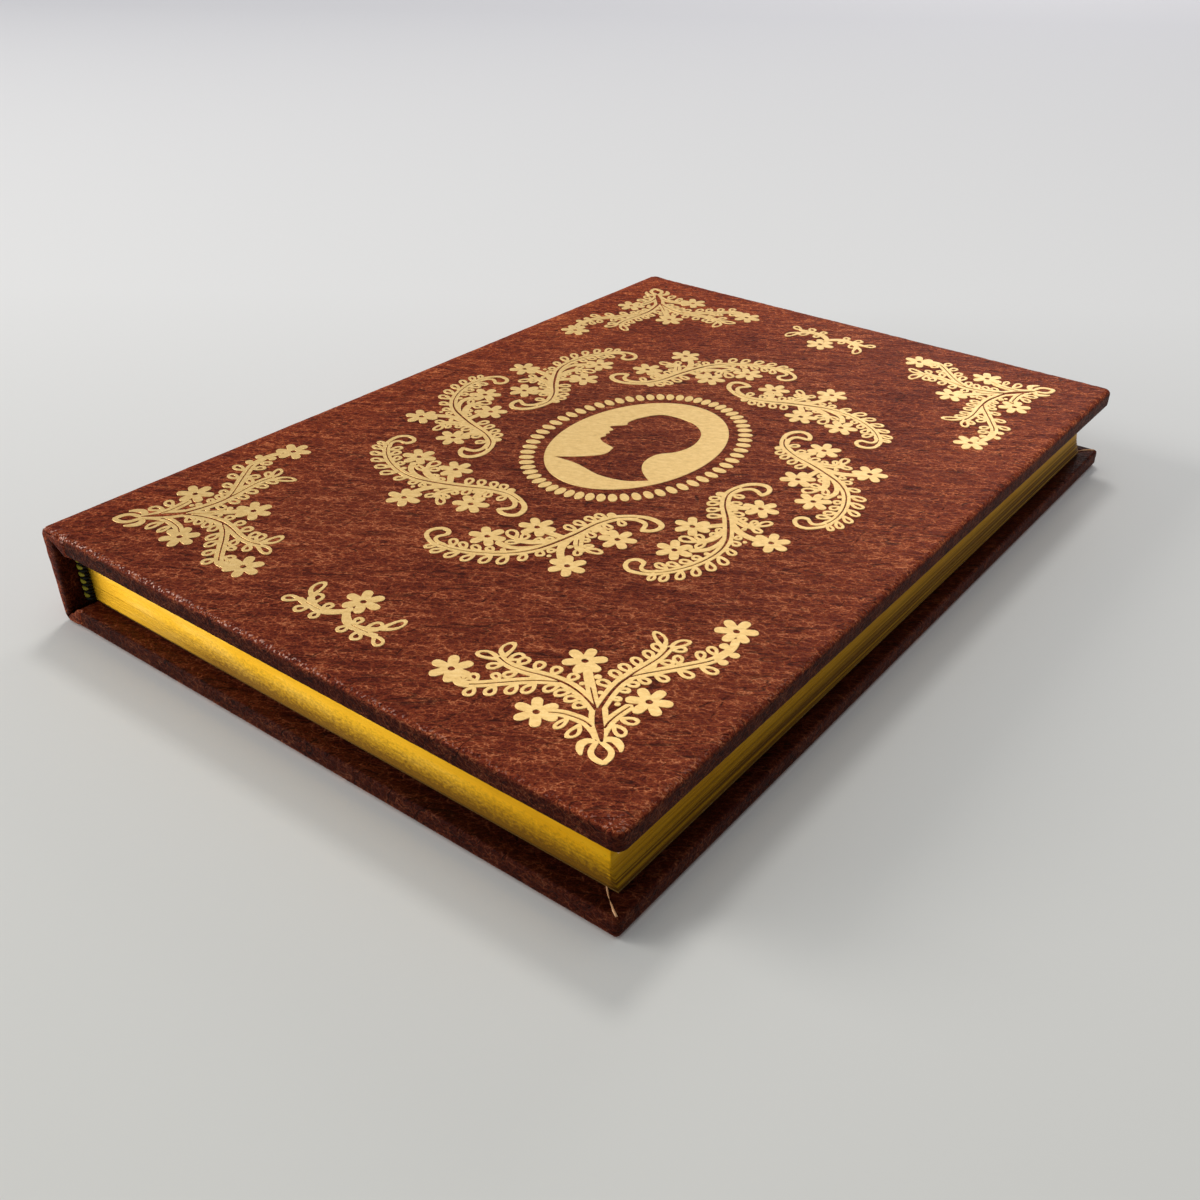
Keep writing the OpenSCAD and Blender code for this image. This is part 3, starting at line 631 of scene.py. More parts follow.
def build_spine():
    line = spine_profile()
    step = np.gradient(line, axis=0)
    normal = np.stack([step[:, 1], -step[:, 0]], -1)
    normal /= np.linalg.norm(normal, axis=1)[:, None]
    run = np.cumsum(np.hypot(*np.diff(line, axis=0, prepend=line[:1]).T))
    half = COVER_H / 2
    flat = (np.abs(line[:, 0] - SPINE_X) < 0.01).astype(float)
    ends = half - np.array([0, 0.06, 0.25, 0.55, 0.95, 1.5, 2.2, 3.0, 4.0])
    rows = np.concatenate([-ends, np.arange(-half + 5.4, half - 5, 1.3), ends[::-1]])
    lean = SPINE_LEAN * line[:, 1] / BOOK_T * lean_share(line[:, 0])
    outer, inner = [], []
    for y in rows:
        from_end = half - abs(y)
        folded = share_of((SPINE_TURN_IN - from_end) / 0.8)
        thick = LEATHER_T + folded * (TURN_IN_T + flat)
        r = np.minimum(thick / 2, 0.7)
        rim = r - np.sqrt(np.clip(r ** 2 - np.clip(r - from_end, 0, None) ** 2, 0, None))
        pucker = 0.22 * ridge(EDGE(run / 1.2, y / 1.6), 0.3) * hump(from_end, 0, 2.2)
        depth = folds(run + 40, y) * share_of(from_end / 0.5) + pucker + rim
        for side, inset, shift in ((outer, depth, lean), (inner, thick - rim, 0)):
            x, z = line.T - normal.T * inset
            side.append(np.column_stack([x - shift, np.full(len(line), y), z]))
    outer, inner = np.array(outer), np.array(inner)
    points, faces = sheet(outer, inner - outer)
    # Painted glints near both ends of the spine's outside, and painted shade all over its inside
    glint_and_shade = np.concatenate([np.repeat(0.5 * hump(half - np.abs(rows), 0.5, 0.4), len(line)),
                           np.full(len(rows) * len(line), DEEP_SHADE)])
    dress(mesh("spine_cover_leather", points, faces, LEATHER, glint_and_shade), "text_block", "leather", "spine_leather")


# Pages and bands

def build_pages():
    """Block of gilt-edged pages with a hollow fore-edge, uneven sheets and a few gaps between gatherings."""
    half_h = PAGES_T / 2 - FORE_EDGE_RIM
    curve_r = (half_h ** 2 + FORE_EDGE_DIP ** 2) / (2 * FORE_EDGE_DIP)
    gaps = (0.75, 1.35, 2.1, 2.9, 3.8, 6.3, 10.2)
    steep = [g + d for g in gaps for d in (-0.09, -0.03, 0.03, 0.09)]
    heights = np.unique(np.round(np.concatenate([np.linspace(0, PAGES_T, 64), steep]), 4))
    xs = np.linspace(PAGES_X0, PAGES_X1, 76)
    ys = np.linspace(-PAGES_H / 2, PAGES_H / 2, 112)
    loop = np.array([(x, ys[0]) for x in xs] + [(xs[-1], y) for y in ys[1:]]
                    + [(x, ys[-1]) for x in xs[-2::-1]] + [(xs[0], y) for y in ys[-2:0:-1]])
    along = np.arange(len(loop)) * 2.0
    on_fore = (loop[:, 0] > PAGES_X1 - 0.01).astype(float)
    on_end = (np.abs(np.abs(loop[:, 1]) - PAGES_H / 2) < 0.01) * (loop[:, 0] >= PAGES_X0 + 0.01)
    to_back = share_of(1 - (loop[:, 0] - PAGES_X0) / 25)
    rng = np.random.RandomState(17)
    rows = []
    for h in heights:
        off = abs(h - PAGES_T / 2)
        dip = max(0.0, sqrt(max(curve_r ** 2 - off ** 2, 0)) - (curve_r - FORE_EDGE_DIP))
        gap = max((0.3 if i < 5 else 0.1) * max(0.0, 1 - abs(h - g) / 0.1) for i, g in enumerate(gaps))
        uneven = 0.03 * rng.rand()
        back = (0.12 + 0.88 * on_fore) * (uneven + gap * (0.6 + 0.4 * WAVES(along / 35, h)))
        lie = 0.05 * (WAVES(along / 50, h / 4) - 0.5) * sin(pi * h / PAGES_T)
        rows.append(np.column_stack([loop[:, 0] - on_fore * (back + dip) - PAGES_LEAN * h / PAGES_T * to_back,
                                     loop[:, 1] - np.sign(loop[:, 1]) * on_end * back, PAGES_Z + h + lie]))
    pages = mesh("text_block_pages", np.concatenate(rows), tube(len(rows), len(loop)), GILT)
    dress(pages, "text_block", "gilt_pages", "page_block")


def winding(x, y, z, height, tail, start, end, radius):
    """Points of one turn of thread over the band's core, a bulge that runs between two angles round it."""
    around = np.linspace(0, 2 * pi, THREAD_SIDES + 1)[:-1]
    bulge = 0.36 * np.cos(around) * np.where(np.cos(around) > 0, 1, 0.3)
    points = []
    for share in np.linspace(0, 1, THREAD_ROWS):
        a = radians(start + (end - start) * share)
        swell = sin(pi * (0.12 + 0.76 * share))
        r = radius + swell * bulge
        points.append(np.column_stack([x - cos(a) * r, y + tail * sin(a) * r,
                                       z + 0.5 * height * swell * np.sin(around)]))
    return np.concatenate(points)


def build_bands():
    """Silk head and tail bands: black thread, yellow beads on the spine's side, and a tape behind them."""
    pitch = PAGES_T / BAND_TURNS
    threads = (("black", SILK_DARK, 0, 1, -8, 188, 1.2, 1.0),
               ("yellow", SILK_LIGHT, 1, 2, 22, 132, 1.36, 1.4))
    turn_faces = tube(THREAD_ROWS, THREAD_SIDES)
    for name, side in (("head_band", 1), ("tail_band", -1)):
        for tone, material, first, jump, start, end, radius, swollen in threads:
            points, faces = [], []
            for i in range(first, BAND_TURNS, jump):
                share = (i + 0.5) / BAND_TURNS
                faces += [[THREAD_ROWS * THREAD_SIDES * len(points) + k for k in face] for face in turn_faces]
                points.append(winding(PAGES_X0 + 0.8 - PAGES_LEAN * share, side * PAGES_H / 2,
                                      PAGES_Z + PAGES_T * share, pitch * swollen, side, start, end, radius))
            piece = mesh(f"{name}_{tone}_thread", np.concatenate(points), faces, material)
            dress(piece, "text_block", "silk", *([name] if first == 0 else []))
        tape = [[(LINING_X - PAGES_LEAN * share, side * (PAGES_H / 2 - d), PAGES_Z + PAGES_T * share)
                 for share in np.linspace(0, 1, 9)] for d in np.linspace(9, -0.8, 12)]
        tape = mesh(f"{name}_tape", *sheet(np.array(tape), np.array([0.45, 0, 0])), LINING)
        dress(tape, "text_block", "silk")


# Gold tooling

def on_curve(p, s):
    """Points at shares s of the way along a smooth curve through p."""
    p = np.asarray(p, float)
    s = np.atleast_1d(s)
    n = len(p) - 1
    k = np.minimum((s * n).astype(int), n - 1)
    t = (s * n - k)[:, None]
    a, b, c, d = p[np.maximum(k - 1, 0)], p[k], p[k + 1], p[np.minimum(k + 2, n)]
    return (2 * b + (c - a) * t + (2 * a - 5 * b + 4 * c - d) * t ** 2 + (3 * b - a - 3 * c + d) * t ** 3) / 2


def turned(points, angle, place=(0, 0)):
    """Flat points turned about the origin, then moved."""
    c, s = cos(angle), sin(angle)
    return np.asarray(points, float) @ np.array([[c, s], [-s, c]]) + np.asarray(place, float)


def oval(rx, ry, count):
    """Points round an upright oval."""
    a = np.linspace(0, 2 * pi, count + 1)[:-1]
    return np.stack([rx * np.cos(a), ry * np.sin(a)], -1)


def spread(values, shares):
    """Values given evenly along a line, read at these shares of it."""
    return np.interp(shares, np.linspace(0, 1, np.size(values)), np.atleast_1d(values))


def stroke(path, width):
    """Outline of a line drawn along a path, with rounded ends."""
    step = np.gradient(path, axis=0)
    step /= np.maximum(np.linalg.norm(step, axis=1), 1e-9)[:, None]
    half = width / 2
    side = np.stack([-step[:, 1], step[:, 0]], -1) * half[:, None]
    start = path[:1] - step[:1] * half[0] * 0.7
    end = path[-1:] + step[-1:] * half[-1] * 0.7
    return np.concatenate([path - side, end, (path + side)[::-1], start])


def teardrop(start, length, width, count):
    """Outline of a drop along the x axis, pointed at its start."""
    t = np.linspace(0, 2 * pi, count + 1)[:-1]
    across = -np.sin(t) * np.abs(np.sin(t / 2)) ** 0.8 * 1.245
    return np.stack([start + length * (1 - np.cos(t)) / 2, width / 2 * across], -1)


LEAF_LINE = 0.66
PETAL = [(0.8, -0.8), (1.8, -0.98), (2.8, -1.06), (3.6, -1.02), (4.15, -0.72), (4.4, -0.25),
         (4.4, 0.25), (4.15, 0.72), (3.6, 1.02), (2.8, 1.06), (1.8, 0.98), (0.8, 0.8)]


class Tooling:
    """A motif painted flat: gold lines and leaves first, then the bare lines in them, then flowers on top.

    Each painted shape says whether it is gold, then gives its outline and that of its eye, if it has one.
    """

    def __init__(self):
        self.leaves, self.bare, self.flowers = [], [], []
        self.points, self.faces = None, None

    def stem(self, p, width=2.1, vein=0.3, steps=20, clear=(0.0, 1.0)):
        """A gold line along p with a bare line down its middle. Widths may change along it."""
        s = np.linspace(0, 1, steps + 1)
        path = on_curve(p, s)
        self.leaves.append((True, stroke(path, spread(width, s))))
        if vein is not None:
            kept = (s >= clear[0] - 1e-9) & (s <= clear[1] + 1e-9)
            self.bare.append((False, stroke(path[kept], 0.1 + 1.1 * spread(vein, s)[kept])))

    def loop(self, place, angle, length=3.6, width=2.3, bend=0.0, eye=True):
        """A leaf drawn as one closed line, with the leather showing as its eye. The angle is in degrees."""
        drops = [teardrop(0, length, width, 14)]
        if eye:
            drops.append(teardrop(0.32 * length, 0.68 * length - LEAF_LINE, width - 2 * LEAF_LINE, 10))
        for drop in drops:
            drop[:, 1] += bend * drop[:, 0] ** 2 / length
        self.leaves.append((True, *(turned(drop, radians(angle), place) for drop in drops)))

    def loops(self, p, start, end, count, angle, length=3.6, width=2.3, bend=0.0, out=0.6, eye=True):
        """Leaves along a stem, on the side that the angle's sign gives. Numbers in pairs change along it."""
        shares = np.linspace(start, end, count)
        ahead, behind = on_curve(p, np.minimum(shares + 0.02, 1)), on_curve(p, np.maximum(shares - 0.02, 0))
        grown = [spread(value, np.linspace(0, 1, count)) for value in (angle, length, width)]
        for place, way, a, l, w in zip(on_curve(p, shares), ahead - behind, *grown):
            heading = atan2(way[1], way[0])
            edge = np.array([-sin(heading), cos(heading)]) * out * np.sign(a)
            self.loop(place + edge, degrees(heading) + a, l, w, bend * np.sign(a), eye)

    def flower(self, place, turn=0.0, size=0.99):
        """Six broad petals round an open eye."""
        for k in range(6):
            self.patch(turned(np.array(PETAL) * size, radians(turn + 60 * k), place))
        self.patch(np.asarray(place) + oval(2.0, 2.0, 12))
        self.patch(np.asarray(place) + oval(0.76, 0.76, 12), False)

    def patch(self, outline, gold=True):
        """A filled shape on top of the rest."""
        self.flowers.append((gold, outline))

    def press(self):
        """Cuts the painted shapes into triangles and keeps the gold ones, with sloping walls round them."""
        points, rings, paint = [], [], []
        for gold, *outlines in self.leaves + self.bare + self.flowers:
            paint.append((gold, *range(len(rings), len(rings) + len(outlines))))
            for ring in outlines:
                ahead = np.roll(ring, -1, axis=0)
                clockwise = np.sum(ring[:, 0] * ahead[:, 1] - ring[:, 1] * ahead[:, 0]) < 0
                rings.append(list(range(len(points), len(points) + len(ring))))
                points += [Vector(p) for p in (ring[::-1] if clockwise else ring)]
        flat, _, triangles, _, _, origins = delaunay_2d_cdt(points, [], rings, 1, 1e-4)
        flat = np.array([tuple(p) for p in flat])
        kept = []
        for triangle, origin in zip(triangles, origins):
            tones = [gold for gold, outer, *eye in paint
                     if outer in origin and not any(number in origin for number in eye)]
            if tones and tones[-1]:
                kept.append(tuple(triangle))
        sides = {(face[k], face[(k + 1) % 3]) for face in kept for k in range(3)}
        edges = sorted((a, b) for a, b in sides if (b, a) not in sides)
        out = np.zeros_like(flat)
        for a, b in edges:
            way = flat[b] - flat[a]
            way = np.array([way[1], -way[0]]) / max(float(np.hypot(*way)), 1e-6)
            out[a] += way
            out[b] += way
        out /= np.maximum(np.linalg.norm(out, axis=1), 1e-6)[:, None]
        size = len(flat)
        slope = flat + 0.07 * out
        self.points = np.concatenate([np.column_stack([flat, np.full(size, FOIL_TOP)]),
                                      np.column_stack([slope, np.full(size, FOIL_TOP - 0.06)]),
                                      np.column_stack([slope, np.full(size, FOIL_BASE)])])
        self.faces = kept
        for a, b in edges:
            self.faces += [(b, a, size + a, size + b), (size + b, size + a, 2 * size + a, 2 * size + b)]

    def build(self, name, node, place, angle=0.0, flip=(1, 1)):
        """Lays the motif on the front cover in place of its CAD node."""
        if self.points is None:
            self.press()
        flat = turned(self.points[:, :2] * flip, angle, np.asarray(place) + (TOOLING_X, 0))
        piece = mesh(name, np.column_stack([flat, self.points[:, 2]]), self.faces, FOIL)
        piece.data.polygons.foreach_set("use_smooth", [len(p.vertices) > 3 for p in piece.data.polygons])
        dress(piece, "front_cover", "gold_foil", node)


# Stems of the corner spray, from its foot outwards: the long side along y, the short one along x
TRUNK = [(3.7, 4.4), (5.3, 6.2), (6.9, 7.9), (8.6, 9.9), (9.8, 11.6)]
LONG = [(9.6, 11.2), (10.3, 13.7), (11.1, 17), (11.5, 20), (11.4, 22.8), (11.3, 25.2), (10.9, 28),
        (10.6, 31.5), (10.8, 34.2), (11.1, 35.6)]
LONG_ARM = [(11.4, 22.6), (10.1, 25), (7.4, 28.9), (4.5, 33.2),
            (2.2, 37), (1.5, 40.5), (1.4, 43), (2.2, 45.8)]
LONG_STALK = [(4.3, 5.2), (5.3, 7.1), (6.0, 9.4), (6.1, 12.4), (5.8, 15.6)]
SHORT = [(10, 11), (12.2, 12.1), (14.8, 13.1), (17.8, 13.8), (21, 13.9), (24.2, 13.3), (27.4, 12.4),
         (30.5, 12), (32.6, 12.2), (34.4, 12.7)]
SHORT_ARM = [(20.4, 13.6), (23.4, 11.8), (26.4, 9.2), (29.6, 5.9), (32.6, 3), (34.7, 2), (37.3, 3)]
SHORT_STALK = [(4.9, 4.7), (6.7, 6.1), (9.2, 7.1), (12, 6.9), (14.4, 6.3), (16.6, 4.9)]
MIDDLE = [(10, 11.2), (12.4, 13.3), (15.6, 16.5), (19.2, 20.2)]
CORNER_FLOWERS = [((3.9, 48.5), 31), ((3.9, 18.9), 33), ((21, 21.9), 15), ((18, 3.9), -6), ((39, 4.3), -4)]


def corner_spray():
    """Two curved sprays from one foot, the longer one along y, each with an arm and a flowered stalk."""
    t = Tooling()
    t.stem(LONG_STALK, (1.5, 2.1, 2.3, 2.1, 2.0), (0.5, 0.4, 0.3, 0.26), 12, (0.3, 1))
    t.stem(SHORT_STALK, (1.5, 2.0, 2.2, 2.1, 2.0), (0.5, 0.4, 0.3, 0.26), 14, (0.26, 1))
    t.stem(TRUNK, (1.5, 2.4, 3.4, 3.5, 3.2), (0.45, 1.1, 1.5, 1.3, 1.0), 8)
    t.stem(MIDDLE, (1.6, 1.9, 1.9, 1.7), (0.3, 0.26, 0.2), 10, (0, 0.6))
    t.stem(LONG, (2.5, 2.5, 2.7, 2.3, 2.0, 1.9), (0.75, 0.55, 0.5, 0.3, 0.3, 0.5), 30)
    t.stem(LONG_ARM, (1.9, 2.2, 2.1, 1.9, 1.7, 1.6), 0.3, 22, (0, 0.62))
    t.stem(SHORT, (2.4, 2.4, 2.6, 2.3, 2.0, 1.9), (0.6, 0.45, 0.6, 0.3, 0.24, 0.4), 30)
    t.stem(SHORT_ARM, (1.9, 2.1, 2.1, 1.9, 1.8), 0.3, 20, (0, 0.74))
    t.loops(LONG, 0.27, 0.84, 6, (-72, -48), 3.7, 2.4, 0.12, 0.4)
    t.loops(LONG, 0.16, 0.36, 3, (70, 62), (2.3, 3.0), (1.6, 2.1))
    t.loops(LONG, 0.74, 0.93, 2, 58, 3.3, 2.2)
    t.loop((10.8, 34.8), 96, 5.5, 2.6, 0.2)
    t.loop((11.6, 34.0), 62, 6.4, 2.8, -0.33)
    t.loops(LONG_ARM, 0.09, 0.47, 4, (60, 54), (3.2, 4.4), (2.2, 2.5))
    t.loops(LONG_ARM, 0.6, 0.73, 2, 66, 2.4, 1.8, 0, 0.4, False)
    t.loops(LONG_ARM, 0.37, 0.64, 3, (-74, -66), 3.5, 2.3)
    t.loops(LONG_ARM, 0.22, 0.22, 1, -74, 2.6, 2.0)
    t.loop((2.0, 42.0), 32, 2.1, 1.9, 0, False)
    t.loops(SHORT, 0.39, 0.62, 3, (86, 92), (3.2, 3.6), (2.4, 2.5))
    t.loops(SHORT, 0.76, 0.9, 2, (96, 100), (3.6, 3.9), (2.5, 2.6))
    t.loop((33.4, 12.9), 48, 5.6, 3.1, 0.32)
    t.loop((33.4, 12.1), 4, 5.6, 2.8, -0.2)
    t.loops(SHORT, 0.07, 0.4, 4, (-52, -66), (3.2, 4.1), 2.4, 0.1)
    t.loops(SHORT, 0.71, 0.86, 2, -62, 3.5, 2.3)
    t.loops(SHORT, 0.56, 0.56, 1, -50, 2.4, 1.8)
    t.loops(SHORT_ARM, 0.2, 0.64, 4, (-52, -60), (4.3, 3.4), 2.45)
    t.loops(SHORT_ARM, 0.47, 0.63, 2, 76, (2.8, 3.1), (2.1, 2.3))
    t.loop((34.6, 2.6), 80, 2.4, 1.7)
    t.loop((5.4, 11.6), 168, 3.9, 2.5, -0.1)
    t.loop((5.4, 9.4), 190, 4.2, 2.6, 0.15)
    t.loop((9.8, 6.1), -112, 4.6, 2.5, 0.2)
    t.loop((12.3, 6.3), -88, 4.2, 1.9)
    for spot, r in (((12.5, 15.7), 0.55), ((16.9, 15.8), 0.55), ((8.0, 14.8), 0.55), ((15.9, 19.3), 0.75)):
        t.patch(np.array(spot) + oval(r, r, 8))
    for way in (1, -1):
        # A heart and two blades make the foot, with its tip in the cover's corner
        heart = np.array([(-0.1, -0.1), (-0.1, 1.5), (0.35, 2.8), (1.4, 3.7), (2.8, 4.1), (3.7, 4.3)])
        t.stem(heart[:, ::way], (1.05, 1.1, 1.05, 1.0, 0.9), None, 12)
        blade = np.array([(3.6, 4.7), (3.1, 5.7), (1.8, 6.1), (0.4, 5.4), (-0.6, 4.3)])
        t.stem(blade[:, ::way], (0.9, 1.4, 1.6, 1.3, 0.4), None, 12)
    for place, turn in CORNER_FLOWERS:
        t.flower(place, turn)
    return t


def build_corner_sprays():
    spray = corner_spray()
    for i, (sx, sy) in enumerate(((1, 1), (-1, 1), (-1, -1), (1, -1)), 1):
        name = f"corner_spray_{i}"
        spray.build("tooled_" + name, "gilt_" + name, (sx * CORNER_X, sy * CORNER_Y), 0.0, (-sx, -sy))


WREATH_STEM = [(-21.4, -7.0), (-18.8, -7.1), (-16, -6.4), (-12, -3.8), (-7.6, 0.6), (-3, 4.5), (1, 7.3),
               (5.4, 8.9), (10, 9.3), (15, 8.7), (19.4, 7.2), (22.6, 5.2)]
WREATH_FLOWERS = [((-16.6, 3.2), -14), ((-5.4, 14.7), 24), ((1.2, -2.5), 40), ((12.2, 1.7), 38)]
HOOKS = [
    ([(-19.8, -7.75), (-23.6, -7.0), (-25.9, -5.4), (-26.9, -3.2), (-26, -1.4), (-24, -0.6), (-22.2, -1.0)],
     (1.0, 1.3, 1.3, 1.1, 1.2)),
    ([(-18.6, -6.3), (-21.2, -5.9), (-22.9, -4.7), (-23.2, -3.2), (-22.4, -1.4)], (1.0, 1.1, 1.0)),
    ([(21.8, 6.4), (23.8, 4.9), (25.2, 2.6), (25.7, 0.4), (24.7, -1.4), (22.8, -2.1), (21.2, -1.4),
      (20.8, -0.1), (21.2, 0.9)], (0.9, 1.0, 1.0, 1.1)),
    ([(21.4, 5.2), (22.9, 4.1), (23.5, 2.7), (22.9, 1.6), (21.3, 1.0)], (0.8, 0.85, 0.8))]


def wreath_spray():
    """An S-shaped spray that ends in a hook each way, with four flowers on stalks."""
    t = Tooling()
    t.stem(WREATH_STEM, (1.9, 2.2, 2.4, 2.4, 2.5, 2.6, 2.3, 2.1, 2.0, 1.9, 1.8, 1.6),
           (0.3, 0.3, 0.36, 0.4, 0.6, 0.6, 0.4, 0.3, 0.3, 0.26, 0.2), 44)
    for path, width in HOOKS:
        t.stem(path, width, None, 14)
    t.stem([(-12, -3.2), (-13.2, -1), (-14.6, 0.8)], (1.6, 1.8), None, 4)
    t.stem([(-6, 2.6), (-4.4, 6), (-3.9, 9), (-4.2, 12.2)], (2.2, 1.7, 1.6), None, 6)
    t.stem([(-4.6, 2.2), (-3, 1.2), (-0.6, -0.4)], (1.4, 1.6), None, 4)
    t.stem([(-1.4, 5.4), (3.2, 6.9), (7.2, 6.6), (9.8, 4.4)], (1.0, 1.2, 1.6), None, 8)
    t.stem([(-8.4, 1), (-8.0, 4), (-7.9, 6.5), (-8.8, 8.4)], (2.2, 2.2, 2.0, 1.4),
           (0.3, 0.2, 0.2), 8, (0.2, 0.7))
    t.loop((-8.6, 7.6), 168, 4.9, 2.5, -0.1)
    t.loop((-8.0, 6.9), 82, 3.6, 2.2)
    t.loop((-8.4, 6.2), 180, 3.0, 1.8)
    t.loop((-8.0, 3.5), 178, 2.7, 2.0)
    t.loop((-9.4, -0.8), 125, 3.9, 2.4)
    t.loop((-7.0, 6.2), 20, 1.6, 1.2)
    t.stem([(-3, 3.7), (0.6, 4.3), (3.6, 4.2), (5.8, 3)], (1.2, 1.8, 1.7, 1.4), None, 8)
    t.loop((-0.2, 4.2), -140, 3.0, 2.0)
    t.loop((2.2, 4.2), -148, 2.8, 2.0)
    t.loop((4.6, 3.7), -112, 3.4, 2.3)
    t.loop((5.8, 3.2), -72, 4.8, 3.0)
    t.loop((4.4, 4.3), 2, 3.9, 2.1)
    t.loops(WREATH_STEM, 0.536, 0.6, 2, (55, 52), (3.1, 3.8), 2.3)
    t.loops(WREATH_STEM, 0.675, 0.93, 5, (58, 48), (4.6, 4.0), (2.6, 2.2))
    t.loop((22.6, 5.4), 18, 3.4, 1.9)
    t.loop((-3.3, 7.8), 14, 2.4, 2.0)
    t.patch(np.array((-1.5, 10.4)) + oval(0.5, 0.5, 8))
    t.loops(WREATH_STEM, 0.69, 0.69, 1, -70, 1.6, 1.3)
    t.loops(WREATH_STEM, 0.74, 0.74, 1, -60, 2.7, 2.2)
    t.loops(WREATH_STEM, 0.79, 0.92, 3, (-50, -64), (3.4, 3.9), 2.3)
    t.loops(WREATH_STEM, 0.205, 0.35, 4, (-66, -90), (3.6, 4.2), 2.4)
    t.loop((-17.0, -7.2), -38, 2.7, 2.0, 0, False)
    t.loops(WREATH_STEM, 0.15, 0.25, 2, 92, 3.5, 2.2)
    t.loop((-12.6, -3.0), 70, 3.2, 1.8, 0, False)
    for place, turn in WREATH_FLOWERS:
        t.flower(place, turn)
    return t


# How far each spray lies off its even place on the oval, and its own turn in degrees
WREATH_OFF = [(1.8, -0.9), (0.2, -0.1), (-1.8, 0.1), (-3.2, 1.2),
              (1, -0.2), (2.2, -0.4), (0.3, 1.2), (0.1, -0.2)]
WREATH_TURN = [-4, -2.6, 0.9, 3.1, -2.4, -2.2, 4.6, 2.4]


def build_wreath():
    spray = wreath_spray()
    for i, (off, turn) in enumerate(zip(WREATH_OFF, WREATH_TURN)):
        name = f"wreath_spray_{i + 1}"
        a = radians(WREATH_FIRST + WREATH_STEP * i)
        along = atan2(-WREATH_Y * cos(a), WREATH_X * sin(a)) + radians(WREATH_SLANT)
        place = turned(off, along, (WREATH_X * cos(a), WREATH_Y * sin(a))) + MEDALLION
        spray.build("tooled_" + name, "gilt_" + name, place, along + radians(turn))


def build_sprigs():
    """A flower over two mirrored sprays, at head and tail."""
    t = Tooling()
    t.stem([(0, 0.2), (0, 2)], 1.5, None, 2)
    for way in (1, -1):
        upper = np.array([(0, 0.9), (1.4, -0.6), (3, -1.7), (5.5, -2.2), (7.8, -1.4), (9.6, 0)]) * (way, 1)
        lower = np.array([(5.2, -2.2), (8, -2.3), (11, -1.8)]) * (way, 1)
        t.stem(upper, (1.3, 1.7, 2.0, 2.1, 1.7, 1.4), None, 14)
        t.stem(lower, (1.6, 1.5, 1.3), None, 6)
        vein = on_curve(np.array([(4.5, -2.05), (6.6, -2.05), (9, -1.9)]) * (way, 1), np.linspace(0, 1, 5))
        t.bare.append((False, stroke(vein, np.full(5, 0.3))))
        t.loop((9.4 * way, -0.2), 90 - way * 38, 6.4, 3.0, 0.25 * way)
        t.loop((10.4 * way, -1.8), 90 - way * 112, 4.2, 2.6, -0.1 * way)
        t.loop((4.6 * way, -1.9), 90 + way * 8, 3.1, 2.2)
        t.loop((7.4 * way, -1.8), 90 - way * 22, 4.4, 2.7)
        t.loop((4.4 * way, -2.3), -90 - way * 12, 3.2, 2.3)
        t.loop((7.0 * way, -2.4), -90 + way * 30, 3.6, 2.6)
    t.flower((0, 5.4), 0)
    for name, side in (("tail", 1), ("head", -1)):
        t.build(f"tooled_{name}_sprig", f"gilt_{name}_sprig", (0, -side * SPRIG_Y), 0.0, (1, side))


def build_beads():
    """Oval ring of long beads, each pointing outwards."""
    rx, ry = BEAD_RING
    bead = oval(*BEAD, 12)
    t = Tooling()
    for x, y in oval(rx, ry, BEAD_COUNT):
        t.patch(turned(bead, atan2(y * rx / ry, x * ry / rx), (x, y)))
    t.build("tooled_bead_ring", "gilt_bead_ring", MEDALLION)


# A plain classical head in profile: brow, nose and chin lie a third of the face apart
FACE = 5.6
BUST = [
    ([(-7.6, 2.9 * FACE), (-9.3, 2.2 * FACE), (-9.8, 1.55 * FACE), (-9.1, 1.3 * FACE), (-12, 0.68 * FACE),
      (-10, 0.48 * FACE), (-10.3, 0.2 * FACE), (-9.5, 0.08 * FACE), (-10, -0.12 * FACE), (-9.2, -0.3 * FACE),
      (-9.6, -0.62 * FACE), (-7.6, -0.9 * FACE), (-3.4, -1.1 * FACE)], 40),
    ([(-3.4, -6.2), (-3, -10.5), (-6.5, -15), (-12, -19.6)], 12),
    ([(-12, -19.6), (-5, -19.2), (3, -20.8), (10, -19.4), (14.4, -15.6)], 14),
    ([(14.4, -15.6), (9.8, -12), (7.4, -7.5), (7.6, -2.4), (10.6, 2), (11.6, 8), (9.6, 14.6), (5, 18.8),
      (-1, 19.8), (-5.4, 18.8), (-7.6, 16.24)], 40)]


def build_medallion():
    """Gold oval round a bust in profile, which is left as bare leather."""
    t = Tooling()
    t.patch(oval(*OVAL, 120))
    t.patch(np.concatenate([on_curve(p, np.linspace(0, 1, n + 1)[:-1]) for p, n in BUST]), False)
    t.build("tooled_medallion", "gilt_medallion", MEDALLION)


# Setting

# Camera of the photograph: its place in metres, then its angles in degrees
CAMERA_PLACE = (0.16509, -0.23845, 0.16015)
CAMERA_TURN, CAMERA_RISE, CAMERA_TILT = 36.66, 32.07, 1.14
FLOOR_REACH = 9


